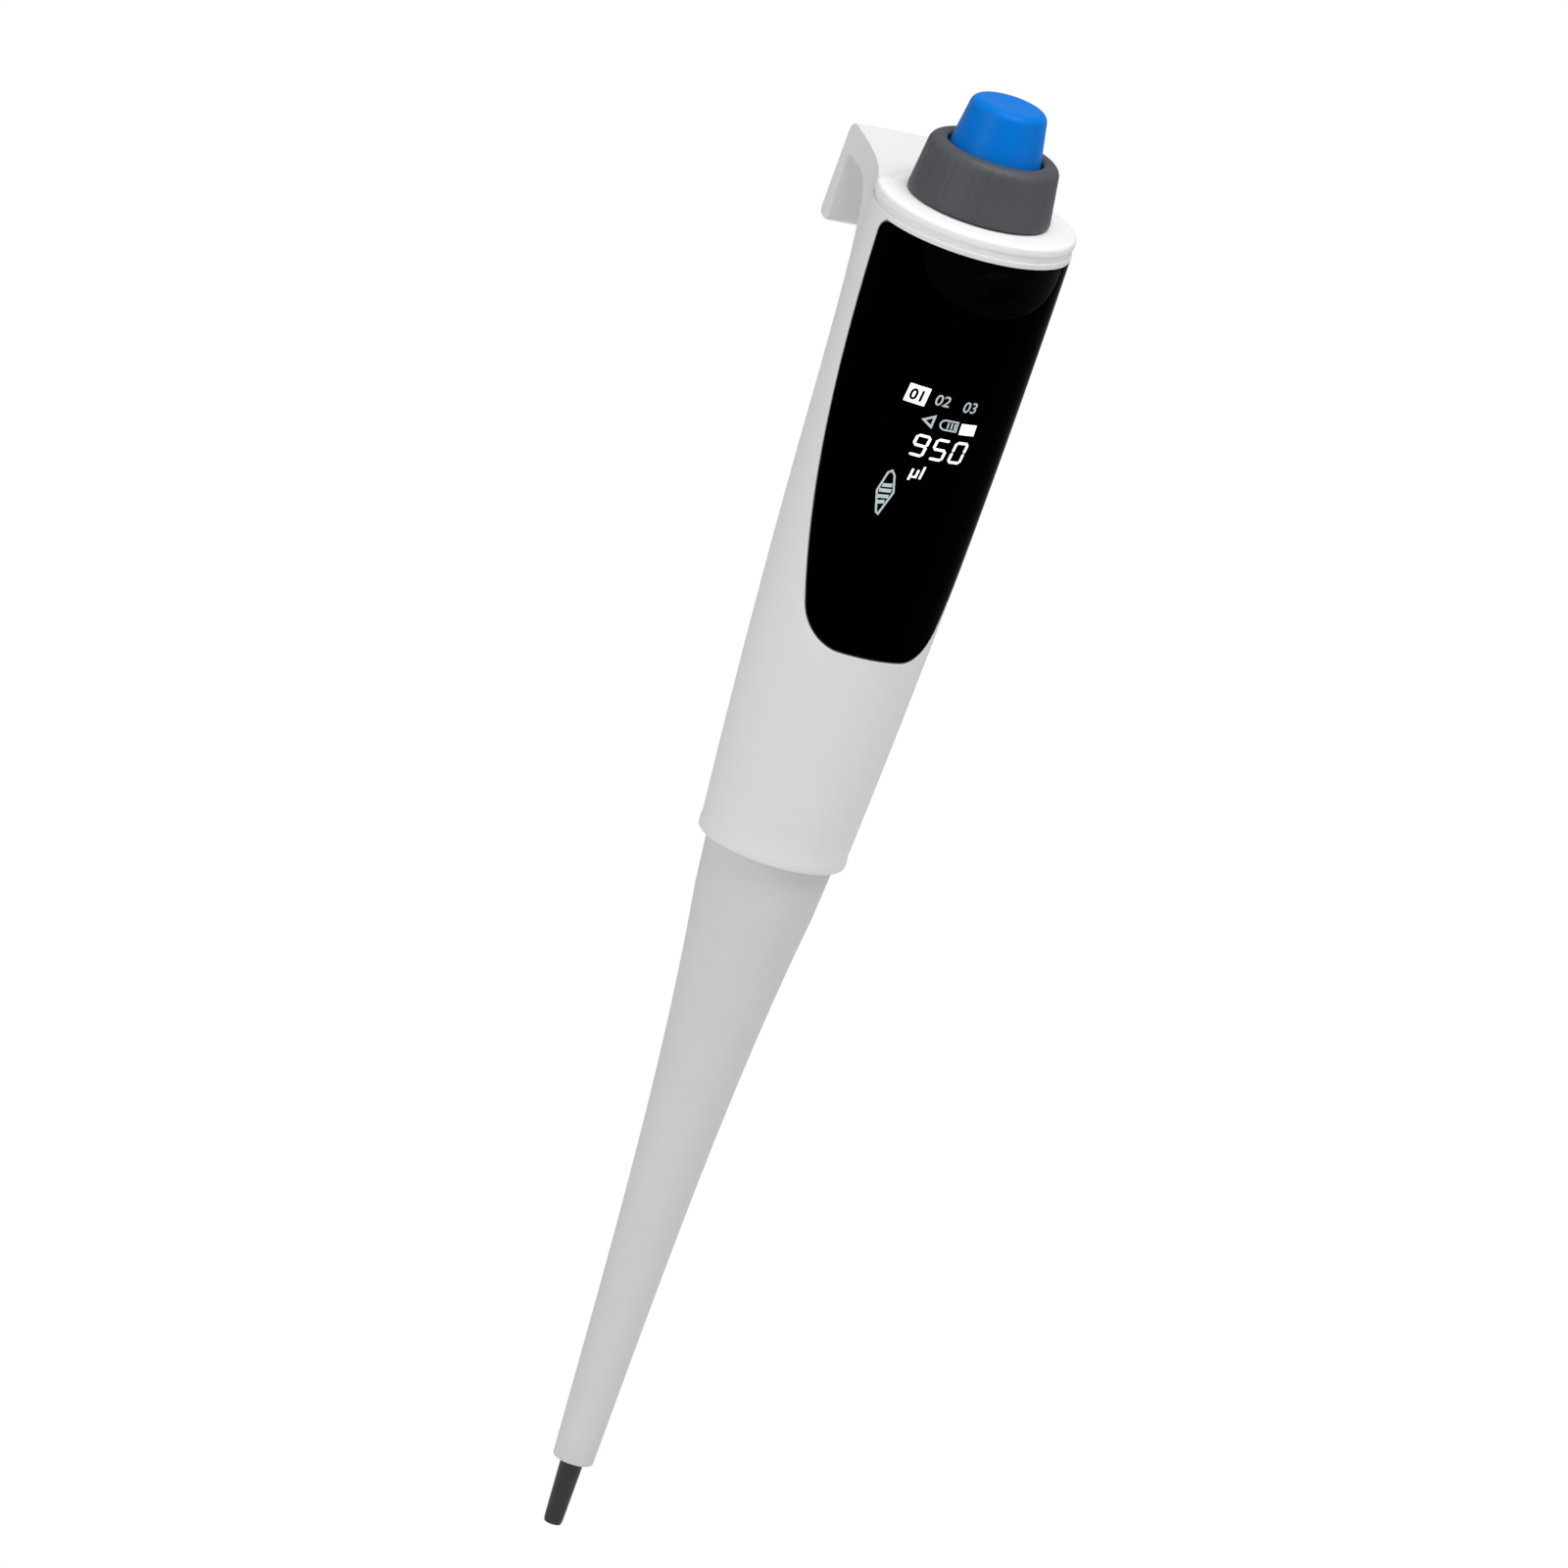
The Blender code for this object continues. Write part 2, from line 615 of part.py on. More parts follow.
def handle_cavity():
    thick_from = PANEL_LOW - 2 * PANEL_LEDGE
    thin_to = thick_from - 3 * PANEL_LEDGE
    waist = HANDLE_LOW + HANDLE_LIP_HEIGHT
    below = HANDLE_LOW - HANDLE_WALL
    rows = [COVER_TOP + HANDLE_WALL, HANDLE_TOP]
    rows += heights(HANDLE_TOP, thick_from, 4)[1:]
    rows += heights(thin_to, waist, 2)
    profile = [(0, rows[0])]
    profile += [(cavity_radius(height), height) for height in rows]
    profile += [(cavity_radius(waist), below), (0, below)]
    return turned("handle_cavity", profile, steps=HANDLE_STEPS, closed=False)


def hook_half_width(y, height):
    """Half the hook's width: it springs from the handle's flank and narrows as it goes back."""
    radius = handle_radius(height)
    if y < SEAM_Y:
        return math.sqrt(radius ** 2 - y ** 2)
    start_x = math.sqrt(radius ** 2 - SEAM_Y ** 2)
    fade = (start_x - HOOK_HALF_WIDTH) * start_x / SEAM_Y
    return HOOK_HALF_WIDTH + (start_x - HOOK_HALF_WIDTH) * math.exp((SEAM_Y - y) / fade)


def hook_plan():
    """The hook's plan view, one face extruded upwards in steps that follow the handle."""
    first = SEAM_Y - HOOK_ROOT
    stations = heights(first, HOOK_REACH + HOOK_EDGE_R, 12)
    levels = heights(LAND_Z - HOOK_SWEEP - HOOK_ROOT, HANDLE_TOP, 5) + [COVER_TOP + HOOK_ROOT]
    mesh = bpy.data.meshes.new("hook_plan")
    shape = bmesh.new()
    side = [(hook_half_width(y, levels[0]), y) for y in stations]
    ring = side + [(-x, y) for x, y in reversed(side)]
    face = shape.faces.new([shape.verts.new((x, y, levels[0])) for x, y in ring])
    for level in levels[1:]:
        face = bmesh.ops.extrude_discrete_faces(shape, faces=[face])["faces"][0]
        for vert in face.verts:
            x = math.copysign(hook_half_width(vert.co.y, level), vert.co.x)
            vert.co = (x, vert.co.y, level)
    bmesh.ops.holes_fill(shape, edges=[edge for edge in shape.edges if edge.is_boundary])
    bmesh.ops.recalc_face_normals(shape, faces=shape.faces)
    shape.to_mesh(mesh)
    shape.free()
    return add_object("hook_plan", mesh)


def hook_solid():
    """The finger hook: its side view and its plan view, extruded and kept where they meet."""
    tongue_low = COVER_TOP - HOOK_DROP
    sweep_y = LAND_END_Y - HOOK_LAND_LENGTH
    sweep_low = LAND_Z - HOOK_SWEEP
    crown = HOOK_CROWN_R
    foot = HOOK_FOOT_R
    inner = HOOK_INNER_R
    side = [(SEAM_Y - HOOK_ROOT, COVER_TOP), (sweep_y, COVER_TOP)]
    side += arc(HOOK_REACH - HOOK_LEAN - crown, COVER_TOP - crown, crown, 90, 15, 4)
    side += arc(HOOK_REACH - foot, tongue_low + foot, foot, 5, -90, 3)
    side += arc(TONGUE_INNER_Y + foot, tongue_low + foot, foot, -90, -180, 2)
    side += arc(LAND_END_Y, LAND_Z - inner, inner, 0, 90, 3)
    count = 9
    for index in range(count + 1):
        share = index / count
        y = sweep_y + (SEAM_Y - sweep_y) * share
        side.append((y, LAND_Z - HOOK_SWEEP * share ** HOOK_SWEEP_POWER))
    side.append((SEAM_Y - HOOK_ROOT, sweep_low))
    hook = outline("hook_side", side, 3 * HANDLE_TOP_R, "YZ")
    keep_inside(hook, hook_plan())
    bevel = hook.modifiers.new("edges", "BEVEL")
    bevel.width = HOOK_EDGE_R
    bevel.segments = 2
    bevel.limit_method = "ANGLE"
    bevel.angle_limit = math.radians(50)
    return hook


def half_space(name, low_y, high_y, low_z, high_z):
    wide = 3 * HANDLE_TOP_R
    return box(name, (-wide, low_y, low_z), (wide, high_y, high_z))


def build_shells():
    far = 2 * HOOK_REACH
    cavity = handle_cavity()
    everywhere = (HANDLE_LOW - COVER_HEIGHT, COVER_TOP + COVER_HEIGHT)
    behind_seam = half_space("behind_seam", SEAM_Y - GAP / 2, far, *everywhere)
    before_seam = half_space("before_seam", -far, SEAM_Y + GAP / 2, *everywhere)

    front = handle_solid("front_shell", HANDLE_TOP)
    make_part(front, "white_abs")
    recess_depth = RECESS_PROUD + PANEL_THICKNESS + GAP
    recess = wrapped_patch("panel_recess", RECESS_PROUD, recess_depth, GAP, PANEL_TOP + GAP, 14)
    opening = wrapped_patch(
        "panel_opening", 1.5 * RECESS_PROUD, 2 * PANEL_WALL, -PANEL_LEDGE, PANEL_TOP + GAP / 2, 14
    )
    cut(front, recess, opening, cavity, behind_seam)

    rear = handle_solid("rear_shell", COVER_TOP)
    make_part(rear, "white_abs")
    unite(rear, hook_solid())
    cut(rear, cavity, before_seam)
    cut(rear, *screw_holes_in_rear_shell(), socket_hole())


def make_part(obj, finish):
    """Turn a cutter-like solid into a part."""
    obj.hide_render = False
    obj.display_type = "TEXTURED"
    CUTTERS.objects.unlink(obj)
    PARTS.objects.link(obj)
    obj.data.materials.append(material(finish))


def case_screw_places():
    places = []
    for height in (CASE_SCREW_LOW, CASE_SCREW_HIGH):
        for side in (-1, 1):
            surface = math.sqrt(handle_radius(height) ** 2 - CASE_SCREW_X ** 2)
            places.append((side * CASE_SCREW_X, surface, height))
    return places


def screw_holes_in_rear_shell():
    """A counterbore for each screw's head and a clearance hole for its shank."""
    cutters = []
    head_r = CASE_SCREW_HEAD_R + GAP
    shank_r = CASE_SCREW_R + GAP
    reach = SCREW_HOLE_REACH
    for index, (x, y, z) in enumerate(case_screw_places()):
        head_y = y - CASE_SCREW_HEAD - GAP + reach / 2
        cutters.append(rod(f"head_hole_{index}", head_r, reach, (x, head_y, z), "Y", sides=12))
        cutters.append(rod(f"shank_hole_{index}", shank_r, reach, (x, y - reach / 4, z), "Y", sides=12))
    return cutters


def build_case_screws():
    """Four pan-head screws sunk into the rear shell."""
    head = CASE_SCREW_HEAD
    length = CASE_SCREW_LENGTH
    for index, (x, y, z) in enumerate(case_screw_places(), start=1):
        head_y = y - head / 2
        shank_y = y - head - length / 2 + WELD
        screw = rod(f"case_screw_{index}", CASE_SCREW_HEAD_R, head, (x, head_y, z), "Y", sides=12)
        make_part(screw, "steel")
        shank = rod(f"case_shank_{index}", CASE_SCREW_R, length, (x, shank_y, z), "Y", sides=12)
        unite(screw, shank)


def socket_hole():
    return box(
        "socket_hole",
        (-SOCKET_HALF_WIDTH - GAP, BAR_OUTER_Y, SOCKET_MIDDLE - SOCKET_HALF_HEIGHT - GAP),
        (SOCKET_HALF_WIDTH + GAP, 2 * HANDLE_TOP_R, SOCKET_MIDDLE + SOCKET_HALF_HEIGHT + GAP),
    )


def build_charging_socket():
    outer_y = handle_radius(SOCKET_MIDDLE) - SOCKET_SUNK
    inner_y = BAR_OUTER_Y + 2 * GAP
    socket = box(
        "charging_socket",
        (-SOCKET_HALF_WIDTH, inner_y, SOCKET_MIDDLE - SOCKET_HALF_HEIGHT),
        (SOCKET_HALF_WIDTH, outer_y, SOCKET_MIDDLE + SOCKET_HALF_HEIGHT),
        "steel",
    )
    wall = SOCKET_WALL
    mouth = box(
        "socket_mouth",
        (-SOCKET_HALF_WIDTH + wall, inner_y + wall, SOCKET_MIDDLE - SOCKET_HALF_HEIGHT + wall),
        (SOCKET_HALF_WIDTH - wall, outer_y + wall, SOCKET_MIDDLE + SOCKET_HALF_HEIGHT - wall),
    )
    cut(socket, mouth)


def trigger_outline(margin):
    """Half an ellipse that hangs from the panel's top edge."""
    half_width = TRIGGER_HALF_WIDTH + margin
    depth = TRIGGER_DEPTH + margin
    points = []
    count = 22
    for index in range(count + 1):
        angle = math.pi * index / count
        drop = depth * math.sin(angle) ** TRIGGER_ROUNDNESS
        points.append((-half_width * math.cos(angle), PANEL_TOP - drop))
    if margin:
        above = PANEL_TOP + TRIGGER_THICKNESS
        points += [(half_width, above), (-half_width, above)]
    return points


def build_panel_and_trigger():
    panel = wrapped_patch("front_panel", 0, PANEL_THICKNESS, 0, PANEL_TOP, 14, "black_gloss")
    notch = outline("trigger_notch", trigger_outline(GAP), 2 * HANDLE_TOP_R, "XZ",
                    location=(0, -HANDLE_TOP_R, 0))
    cut(panel, notch)

    trigger_axis = new_empty("trigger_axis", (0, -HANDLE_TOP_R, TRIGGER_POST_Z), ROOT)
    trigger = outline("trigger", trigger_outline(0), HANDLE_TOP_R, "XZ", "black_gloss",
                      location=(0, HANDLE_TOP_R / 2, -TRIGGER_POST_Z))
    trigger.parent = trigger_axis
    skin = wrapped_patch("trigger_skin", 0, TRIGGER_THICKNESS, -GAP, PANEL_TOP + GAP, 20)
    keep_inside(trigger, skin)
    cut(trigger, trigger_dish())
    post_front = handle_radius(TRIGGER_POST_Z) - TRIGGER_THICKNESS + 2 * WELD
    post_back = SWITCH_FRONT_Y + GAP + TRIGGER_TRAVEL
    post = box(
        "trigger_post",
        (-TRIGGER_POST_HALF_WIDTH, -post_front, TRIGGER_POST_Z - TRIGGER_POST_HALF_HEIGHT),
        (TRIGGER_POST_HALF_WIDTH, -post_back, TRIGGER_POST_Z + TRIGGER_POST_HALF_HEIGHT),
    )
    unite(trigger, post)


def trigger_dish():
    """A wide shallow ellipsoid that hollows the trigger for the fingertip."""
    mesh = bpy.data.meshes.new("trigger_dish")
    shape = bmesh.new()
    bmesh.ops.create_uvsphere(shape, u_segments=24, v_segments=12, radius=1.0)
    reach = TRIGGER_DISH_REACH
    size = Vector((TRIGGER_HALF_WIDTH * TRIGGER_DISH_WIDE, reach, TRIGGER_DEPTH * TRIGGER_DISH_TALL))
    bmesh.ops.scale(shape, vec=size, verts=shape.verts)
    shape.to_mesh(mesh)
    shape.free()
    middle = PANEL_TOP - TRIGGER_DEPTH * TRIGGER_DISH_DROP
    y = -(handle_radius(middle) - TRIGGER_DISH) - reach
    return add_object("trigger_dish", mesh, None, (0, y, middle))


def build_cover():
    """White cover: a full disc with a lip in front, let into the rear shell behind the seam."""
    plate_low = COVER_TOP - COVER_PLATE
    lip_low = COVER_TOP - COVER_LIP
    edge = COVER_EDGE
    step_r = HANDLE_TOP_R - COVER_STEP
    low = HANDLE_TOP + GAP
    hole = KNOB_HUB_R + GAP
    skirt_in = COVER_SKIRT_R - COVER_SKIRT_WALL
    skirt_low = HANDLE_TOP - COVER_SKIRT_DROP
    profile = arc(HANDLE_TOP_R - edge, COVER_TOP - edge, edge, 90, 0, 3)
    profile += [(HANDLE_TOP_R, lip_low + COVER_STEP), (step_r, lip_low), (step_r, low)]
    profile += [(COVER_SKIRT_R, low), (COVER_SKIRT_R, skirt_low)]
    profile += [(skirt_in, skirt_low), (skirt_in, plate_low), (hole, plate_low), (hole, COVER_TOP)]
    cover = turned("top_cover", profile, "white_abs", steps=HANDLE_STEPS)
    inset = CAVITY_TOP_R - GAP
    outside = 2 * HANDLE_TOP_R
    above = COVER_TOP + COVER_HEIGHT
    below = HANDLE_TOP - COVER_HEIGHT
    ring = turned(
        "cover_back_ring",
        [(outside, above), (outside, below), (inset, below), (inset, above)],
        steps=HANDLE_STEPS,
    )
    front = half_space(
        "cover_front", -2 * outside, SEAM_Y - GAP / 2, below - COVER_HEIGHT, above + COVER_HEIGHT
    )
    cut(ring, front)
    cut(cover, ring)


def build_knob():
    """Fluted setting ring, whose hub passes down through the cover."""
    hub_in = KNOB_HUB_R - KNOB_HUB_WALL
    well = BUTTON_LOW_R + RUNNING_GAP
    shoulder = KNOB_SHOULDER
    foot = KNOB_FOOT_EDGE
    profile = [(well + KNOB_WELL_EDGE, KNOB_TOP)]
    profile += arc(KNOB_HIGH_R - shoulder, KNOB_TOP - shoulder, shoulder, 80, 8, 3)
    profile += [(KNOB_LOW_R, KNOB_LOW + foot), (KNOB_LOW_R - foot, KNOB_LOW)]
    profile += [(KNOB_HUB_R, KNOB_LOW), (KNOB_HUB_R, HUB_LOW), (hub_in, HUB_LOW)]
    profile += [(hub_in, KNOB_FLOOR), (well, KNOB_FLOOR), (well, KNOB_TOP - KNOB_WELL_EDGE)]
    knob = turned("setting_ring", profile, "dark_abs", steps=KNOB_FLUTES)
    cut(knob, knob_flute_cutter())


def knob_flute_cutter():
    """A ring of thin tapered wedges, one for each groove in the knob's side."""
    mesh = bpy.data.meshes.new("knob_flutes")
    shape = bmesh.new()
    low_z = KNOB_LOW + COVER_EDGE
    high_z = KNOB_TOP - KNOB_SHOULDER
    slope = (KNOB_LOW_R - KNOB_HIGH_R) / KNOB_HEIGHT
    half = KNOB_FLUTE_HALF_WIDTH
    for index in range(KNOB_FLUTES):
        turn = Matrix.Rotation(math.tau * index / KNOB_FLUTES, 4, "Z")
        made = bmesh.ops.create_cone(
            shape, cap_ends=True, segments=4, radius1=half, radius2=half, depth=high_z - low_z
        )
        for vert in made["verts"]:
            height = (high_z + low_z) / 2 + vert.co.z
            surface = KNOB_LOW_R - slope * (height - KNOB_LOW)
            place = Vector((surface - KNOB_FLUTE_DEPTH + half + vert.co.x, vert.co.y, height))
            vert.co = turn @ place
    shape.to_mesh(mesh)
    shape.free()
    return add_object("knob_flutes", mesh)


def build_button():
    """Hollow push button with a shallow dish in its top."""
    edge = BUTTON_EDGE
    dish = BUTTON_DISH
    profile = [(0, BUTTON_TOP - dish), (BUTTON_HIGH_R - 2 * edge, BUTTON_TOP - dish / 2)]
    profile += arc(BUTTON_HIGH_R - edge, BUTTON_TOP - edge, edge, 90, 10, 3)
    profile += [(BUTTON_LOW_R, BUTTON_LOW), (BUTTON_LOW_R - BUTTON_WALL, BUTTON_LOW)]
    profile += [(BUTTON_HIGH_R - BUTTON_WALL, BUTTON_CEILING), (0, BUTTON_CEILING)]
    turned("eject_button", profile, "blue_abs", steps=32, closed=False)


def build_ejector():
    """The stem under the button, and the bar that carries its push down to the sleeve."""
    stem_top = BUTTON_CEILING - GAP
    shoulder = ARM_TOP + GAP
    pin_low = ARM_LOW + STEM_PIN_SHORT
    turned(
        "eject_stem",
        [(0, stem_top), (STEM_R, stem_top), (STEM_R, shoulder), (STEM_PIN_R, shoulder),
         (STEM_PIN_R, pin_low), (0, pin_low)],
        "steel", steps=20, closed=False,
    )

    clip_out = SLEEVE_TOP_R
    clip_in = SLEEVE_TOP_R - SLEEVE_WALL
    bar = turned(
        "ejector_bar",
        [(clip_out, BAR_LOW + BAR_CLIP_HEIGHT), (clip_out, BAR_LOW), (clip_in, BAR_LOW),
         (clip_in, BAR_LOW + BAR_CLIP_HEIGHT)],
        "grey_abs", steps=28,
    )
    strap = box(
        "bar_strap",
        (-BAR_HALF_WIDTH, BAR_INNER_Y, BAR_LOW),
        (BAR_HALF_WIDTH, BAR_OUTER_Y, ARM_TOP),
    )
    arm_back = BAR_OUTER_Y - WELD
    arm_points = arc(0, 0, ARM_HALF_WIDTH, 180, 360, 9)
    arm_points += [(BAR_HALF_WIDTH, arm_back), (-BAR_HALF_WIDTH, arm_back)]
    arm = outline("bar_arm", arm_points, ARM_HEIGHT, "XY", location=(0, 0, (ARM_LOW + ARM_TOP) / 2))
    pin_hole = rod("stem_pin_hole", STEM_PIN_R + GAP, ARM_HEIGHT * 2, (0, 0, ARM_TOP), sides=20)
    unite(bar, strap, arm)
    cut(bar, pin_hole)


def build_sleeve():
    """Long thin-walled trumpet that slides down and pushes the tip off."""
    collar = [SLEEVE_TOP, HANDLE_LOW]
    flare = heights(SLEEVE_LOW + SLEEVE_FLARE_LENGTH, SLEEVE_LOW + SLEEVE_MOUTH, 9)
    edge = SLEEVE_EDGE
    outer = [(sleeve_radius(height), height) for height in collar + flare]
    outer += [(SLEEVE_LOW_R, SLEEVE_LOW + edge), (SLEEVE_LOW_R - edge, SLEEVE_LOW)]
    upwards = [SLEEVE_LOW] + flare[::-2] + collar[::-1]
    inner = [(sleeve_radius(height) - SLEEVE_WALL, height) for height in upwards]
    turned("ejector_sleeve", outer + inner, "grey_abs", steps=28)


def build_spring():
    """Coil that lifts the button, between the bush and the button's ceiling."""
    low = BUSH_TOP + GAP + SPRING_WIRE_R
    high = BUTTON_CEILING - GAP - SPRING_WIRE_R
    per_turn = 8
    count = SPRING_TURNS * per_turn
    curve = bpy.data.curves.new("ejector_spring_curve", "CURVE")
    curve.dimensions = "3D"
    curve.bevel_depth = SPRING_WIRE_R
    curve.bevel_resolution = 2
    curve.use_fill_caps = True
    spline = curve.splines.new("POLY")
    spline.points.add(count)
    for index, point in enumerate(spline.points):
        share = index / count
        angle = math.tau * SPRING_TURNS * share
        height = low + (high - low) * share
        point.co = (SPRING_R * math.cos(angle), SPRING_R * math.sin(angle), height, 1)
    curve.materials.append(material("steel"))
    spring = bpy.data.objects.new("ejector_spring", curve)
    spring.parent = ROOT
    PARTS.objects.link(spring)


def build_under_cover():
    """The encoder and the bush, between the cover and the cradle."""
    bore = KNOB_HUB_R + GAP
    ring = turned(
        "encoder_ring",
        [(ENCODER_RING_R, ENCODER_RING_TOP), (ENCODER_RING_R, ENCODER_RING_LOW),
         (bore, ENCODER_RING_LOW), (bore, ENCODER_RING_TOP)],
        "seal_white", steps=2 * ENCODER_TEETH,
    )
    cut(ring, encoder_notches())

    board_bore = BUSH_R + GAP
    board_r = COVER_SKIRT_R - COVER_SKIRT_WALL - 2 * GAP
    turned(
        "encoder_board",
        [(board_r, ENCODER_BOARD_TOP), (board_r, ENCODER_BOARD_LOW),
         (board_bore, ENCODER_BOARD_LOW), (board_bore, ENCODER_BOARD_TOP)],
        "board_green", steps=24,
    )
    turned(
        "guide_bush",
        [(BUSH_R, BUSH_TOP), (BUSH_R, BUSH_TOP_OF_FLANGE), (BUSH_FLANGE_R, BUSH_TOP_OF_FLANGE),
         (BUSH_FLANGE_R, BUSH_LOW), (BUSH_BORE_R, BUSH_LOW), (BUSH_BORE_R, BUSH_TOP)],
        "seal_white", steps=24,
    )


def encoder_notches():
    """The notches round the encoder ring, which its board counts as the knob turns."""
    mesh = bpy.data.meshes.new("encoder_notches")
    shape = bmesh.new()
    tooth = ENCODER_TOOTH
    depth = 2 * ENCODER_RING_HEIGHT
    place = Matrix.Translation((ENCODER_RING_R, 0, (ENCODER_RING_TOP + ENCODER_RING_LOW) / 2))
    for index in range(ENCODER_TEETH):
        turn = Matrix.Rotation(math.tau * index / ENCODER_TEETH, 4, "Z")
        made = bmesh.ops.create_cone(
            shape, cap_ends=True, segments=6, radius1=tooth, radius2=tooth, depth=depth
        )
        bmesh.ops.transform(shape, matrix=turn @ place, verts=made["verts"])
    shape.to_mesh(mesh)
    shape.free()
    return add_object("encoder_notches", mesh)


def build_cradle():
    """Inner frame that holds the cell and the boards above the motor."""
    rail_out = CELL_R + CRADLE_OUTSIDE_CELL
    rail_in = rail_out - CRADLE_RAIL
    rail_y = CRADLE_RAIL_WIDTH / 2
    foot_r = cavity_radius(CRADLE_LOW) - 2 * GAP
    foot_hole = SCREW_R + CRADLE_ROUND_SCREW
    foot_top = CRADLE_LOW + CRADLE_PLATE
    cradle = turned(
        "cradle",
        [(foot_r, foot_top), (foot_r, CRADLE_LOW), (foot_hole, CRADLE_LOW), (foot_hole, foot_top)],
        "seal_white", steps=24,
    )
    half_block = CRADLE_BLOCK_HALF_WIDTH
    block_rise = CRADLE_BLOCK_HALF_HEIGHT
    web_rise = block_rise - 2 * WELD
    pieces = []
    for side in (-1, 1):
        rail_x = sorted((side * rail_in, side * rail_out))
        block_x = sorted((side * (CASE_SCREW_X - half_block), side * (CASE_SCREW_X + half_block)))
        web_x = sorted((side * CASE_SCREW_X, side * (rail_in + WELD)))
        pieces.append(box(
            f"cradle_rail_{side}",
            (rail_x[0], -rail_y, CRADLE_LOW + WELD),
            (rail_x[1], rail_y, CRADLE_TOP - WELD),
        ))
        for height in (CASE_SCREW_LOW, CASE_SCREW_HIGH):
            inside = cavity_radius(height)
            block_out = math.sqrt(inside ** 2 - (CASE_SCREW_X + half_block) ** 2) - GAP
            pieces.append(box(
                "cradle_block",
                (block_x[0], rail_y - CRADLE_BLOCK_ROOT, height - block_rise),
                (block_x[1], block_out, height + block_rise),
            ))
            pieces.append(box(
                "cradle_web",
                (web_x[0], rail_y - WELD - CRADLE_WEB, height - web_rise),
                (web_x[1], rail_y - WELD, height + web_rise),
            ))
    front_y = -BOARD_BACK_Y + GAP
    back_y = CELL_R - CELL_EDGE
    shelf_x = rail_in + WELD
    pieces.append(box("cradle_shelf", (-shelf_x, front_y, SHELF_LOW), (shelf_x, back_y, SHELF_TOP)))
    pieces.append(box("cradle_contact", (-shelf_x, front_y, CONTACT_LOW), (shelf_x, back_y, CONTACT_TOP)))
    top_low = CRADLE_TOP - CRADLE_PLATE
    pieces.append(turned(
        "cradle_top",
        [(CRADLE_TOP_R, CRADLE_TOP), (CRADLE_TOP_R, top_low), (BUSH_BORE_R, top_low),
         (BUSH_BORE_R, CRADLE_TOP)],
        steps=24,
    ))
    unite(cradle, *pieces)
    cell_middle = (0, 0, (CELL_LOW + CELL_TOP) / 2)
    cell_room = rod("cell_room", CELL_R + GAP, CELL_LENGTH + GAP, cell_middle, sides=28)
    bar_room = box(
        "bar_room",
        (-BAR_SLOT_HALF_WIDTH, BAR_SLOT_Y, CRADLE_LOW - CRADLE_PLATE),
        (BAR_SLOT_HALF_WIDTH, HANDLE_TOP_R, ARM_TOP + EJECT_TRAVEL),
    )
    board_room = box(
        "board_room",
        (-CRADLE_TOP_R - GAP, -HANDLE_TOP_R, BOARD_LOW - GAP),
        (CRADLE_TOP_R + GAP, front_y, CRADLE_TOP + CRADLE_PLATE),
    )
    cut(cradle, cell_room, bar_room, board_room)
    hole_length = 2 * CASE_SCREW_LENGTH
    for index, (x, y, z) in enumerate(case_screw_places()):
        hole_middle = (x, y - CASE_SCREW_LENGTH / 2, z)
        cut(cradle, rod(f"cradle_hole_{index}", CASE_SCREW_R + GAP, hole_length, hole_middle, "Y", 12))


def build_electronics():
    """The board with what stands on it, the cell and the charging socket."""
    board_front = -BOARD_FACE_Y - GAP
    box(
        "main_board",
        (-BOARD_HALF_WIDTH, -BOARD_FACE_Y, BOARD_LOW),
        (BOARD_HALF_WIDTH, -BOARD_BACK_Y, BOARD_TOP),
        "board_green",
    )
    box(
        "display_module",
        (-DISPLAY_HALF_WIDTH, -DISPLAY_FRONT_Y, DISPLAY_MIDDLE - DISPLAY_LENGTH / 2),
        (DISPLAY_HALF_WIDTH, board_front, DISPLAY_MIDDLE + DISPLAY_LENGTH / 2),
        "glass_dark",
    )
    box(
        "trigger_switch",
        (-SWITCH_HALF_WIDTH, -SWITCH_FRONT_Y, TRIGGER_POST_Z - SWITCH_HALF_WIDTH),
        (SWITCH_HALF_WIDTH, board_front, TRIGGER_POST_Z + SWITCH_HALF_WIDTH),
        "steel",
    )
    cap_low = CELL_TOP - CELL_CAP_HEIGHT
    turned(
        "battery_cell",
        [(0, CELL_TOP), (CELL_CAP_R, CELL_TOP), (CELL_CAP_R, cap_low), (CELL_R - CELL_EDGE, cap_low),
         (CELL_R, cap_low - CELL_EDGE), (CELL_R, CELL_LOW), (0, CELL_LOW)],
        "cell_wrap", steps=24, closed=False,
    )


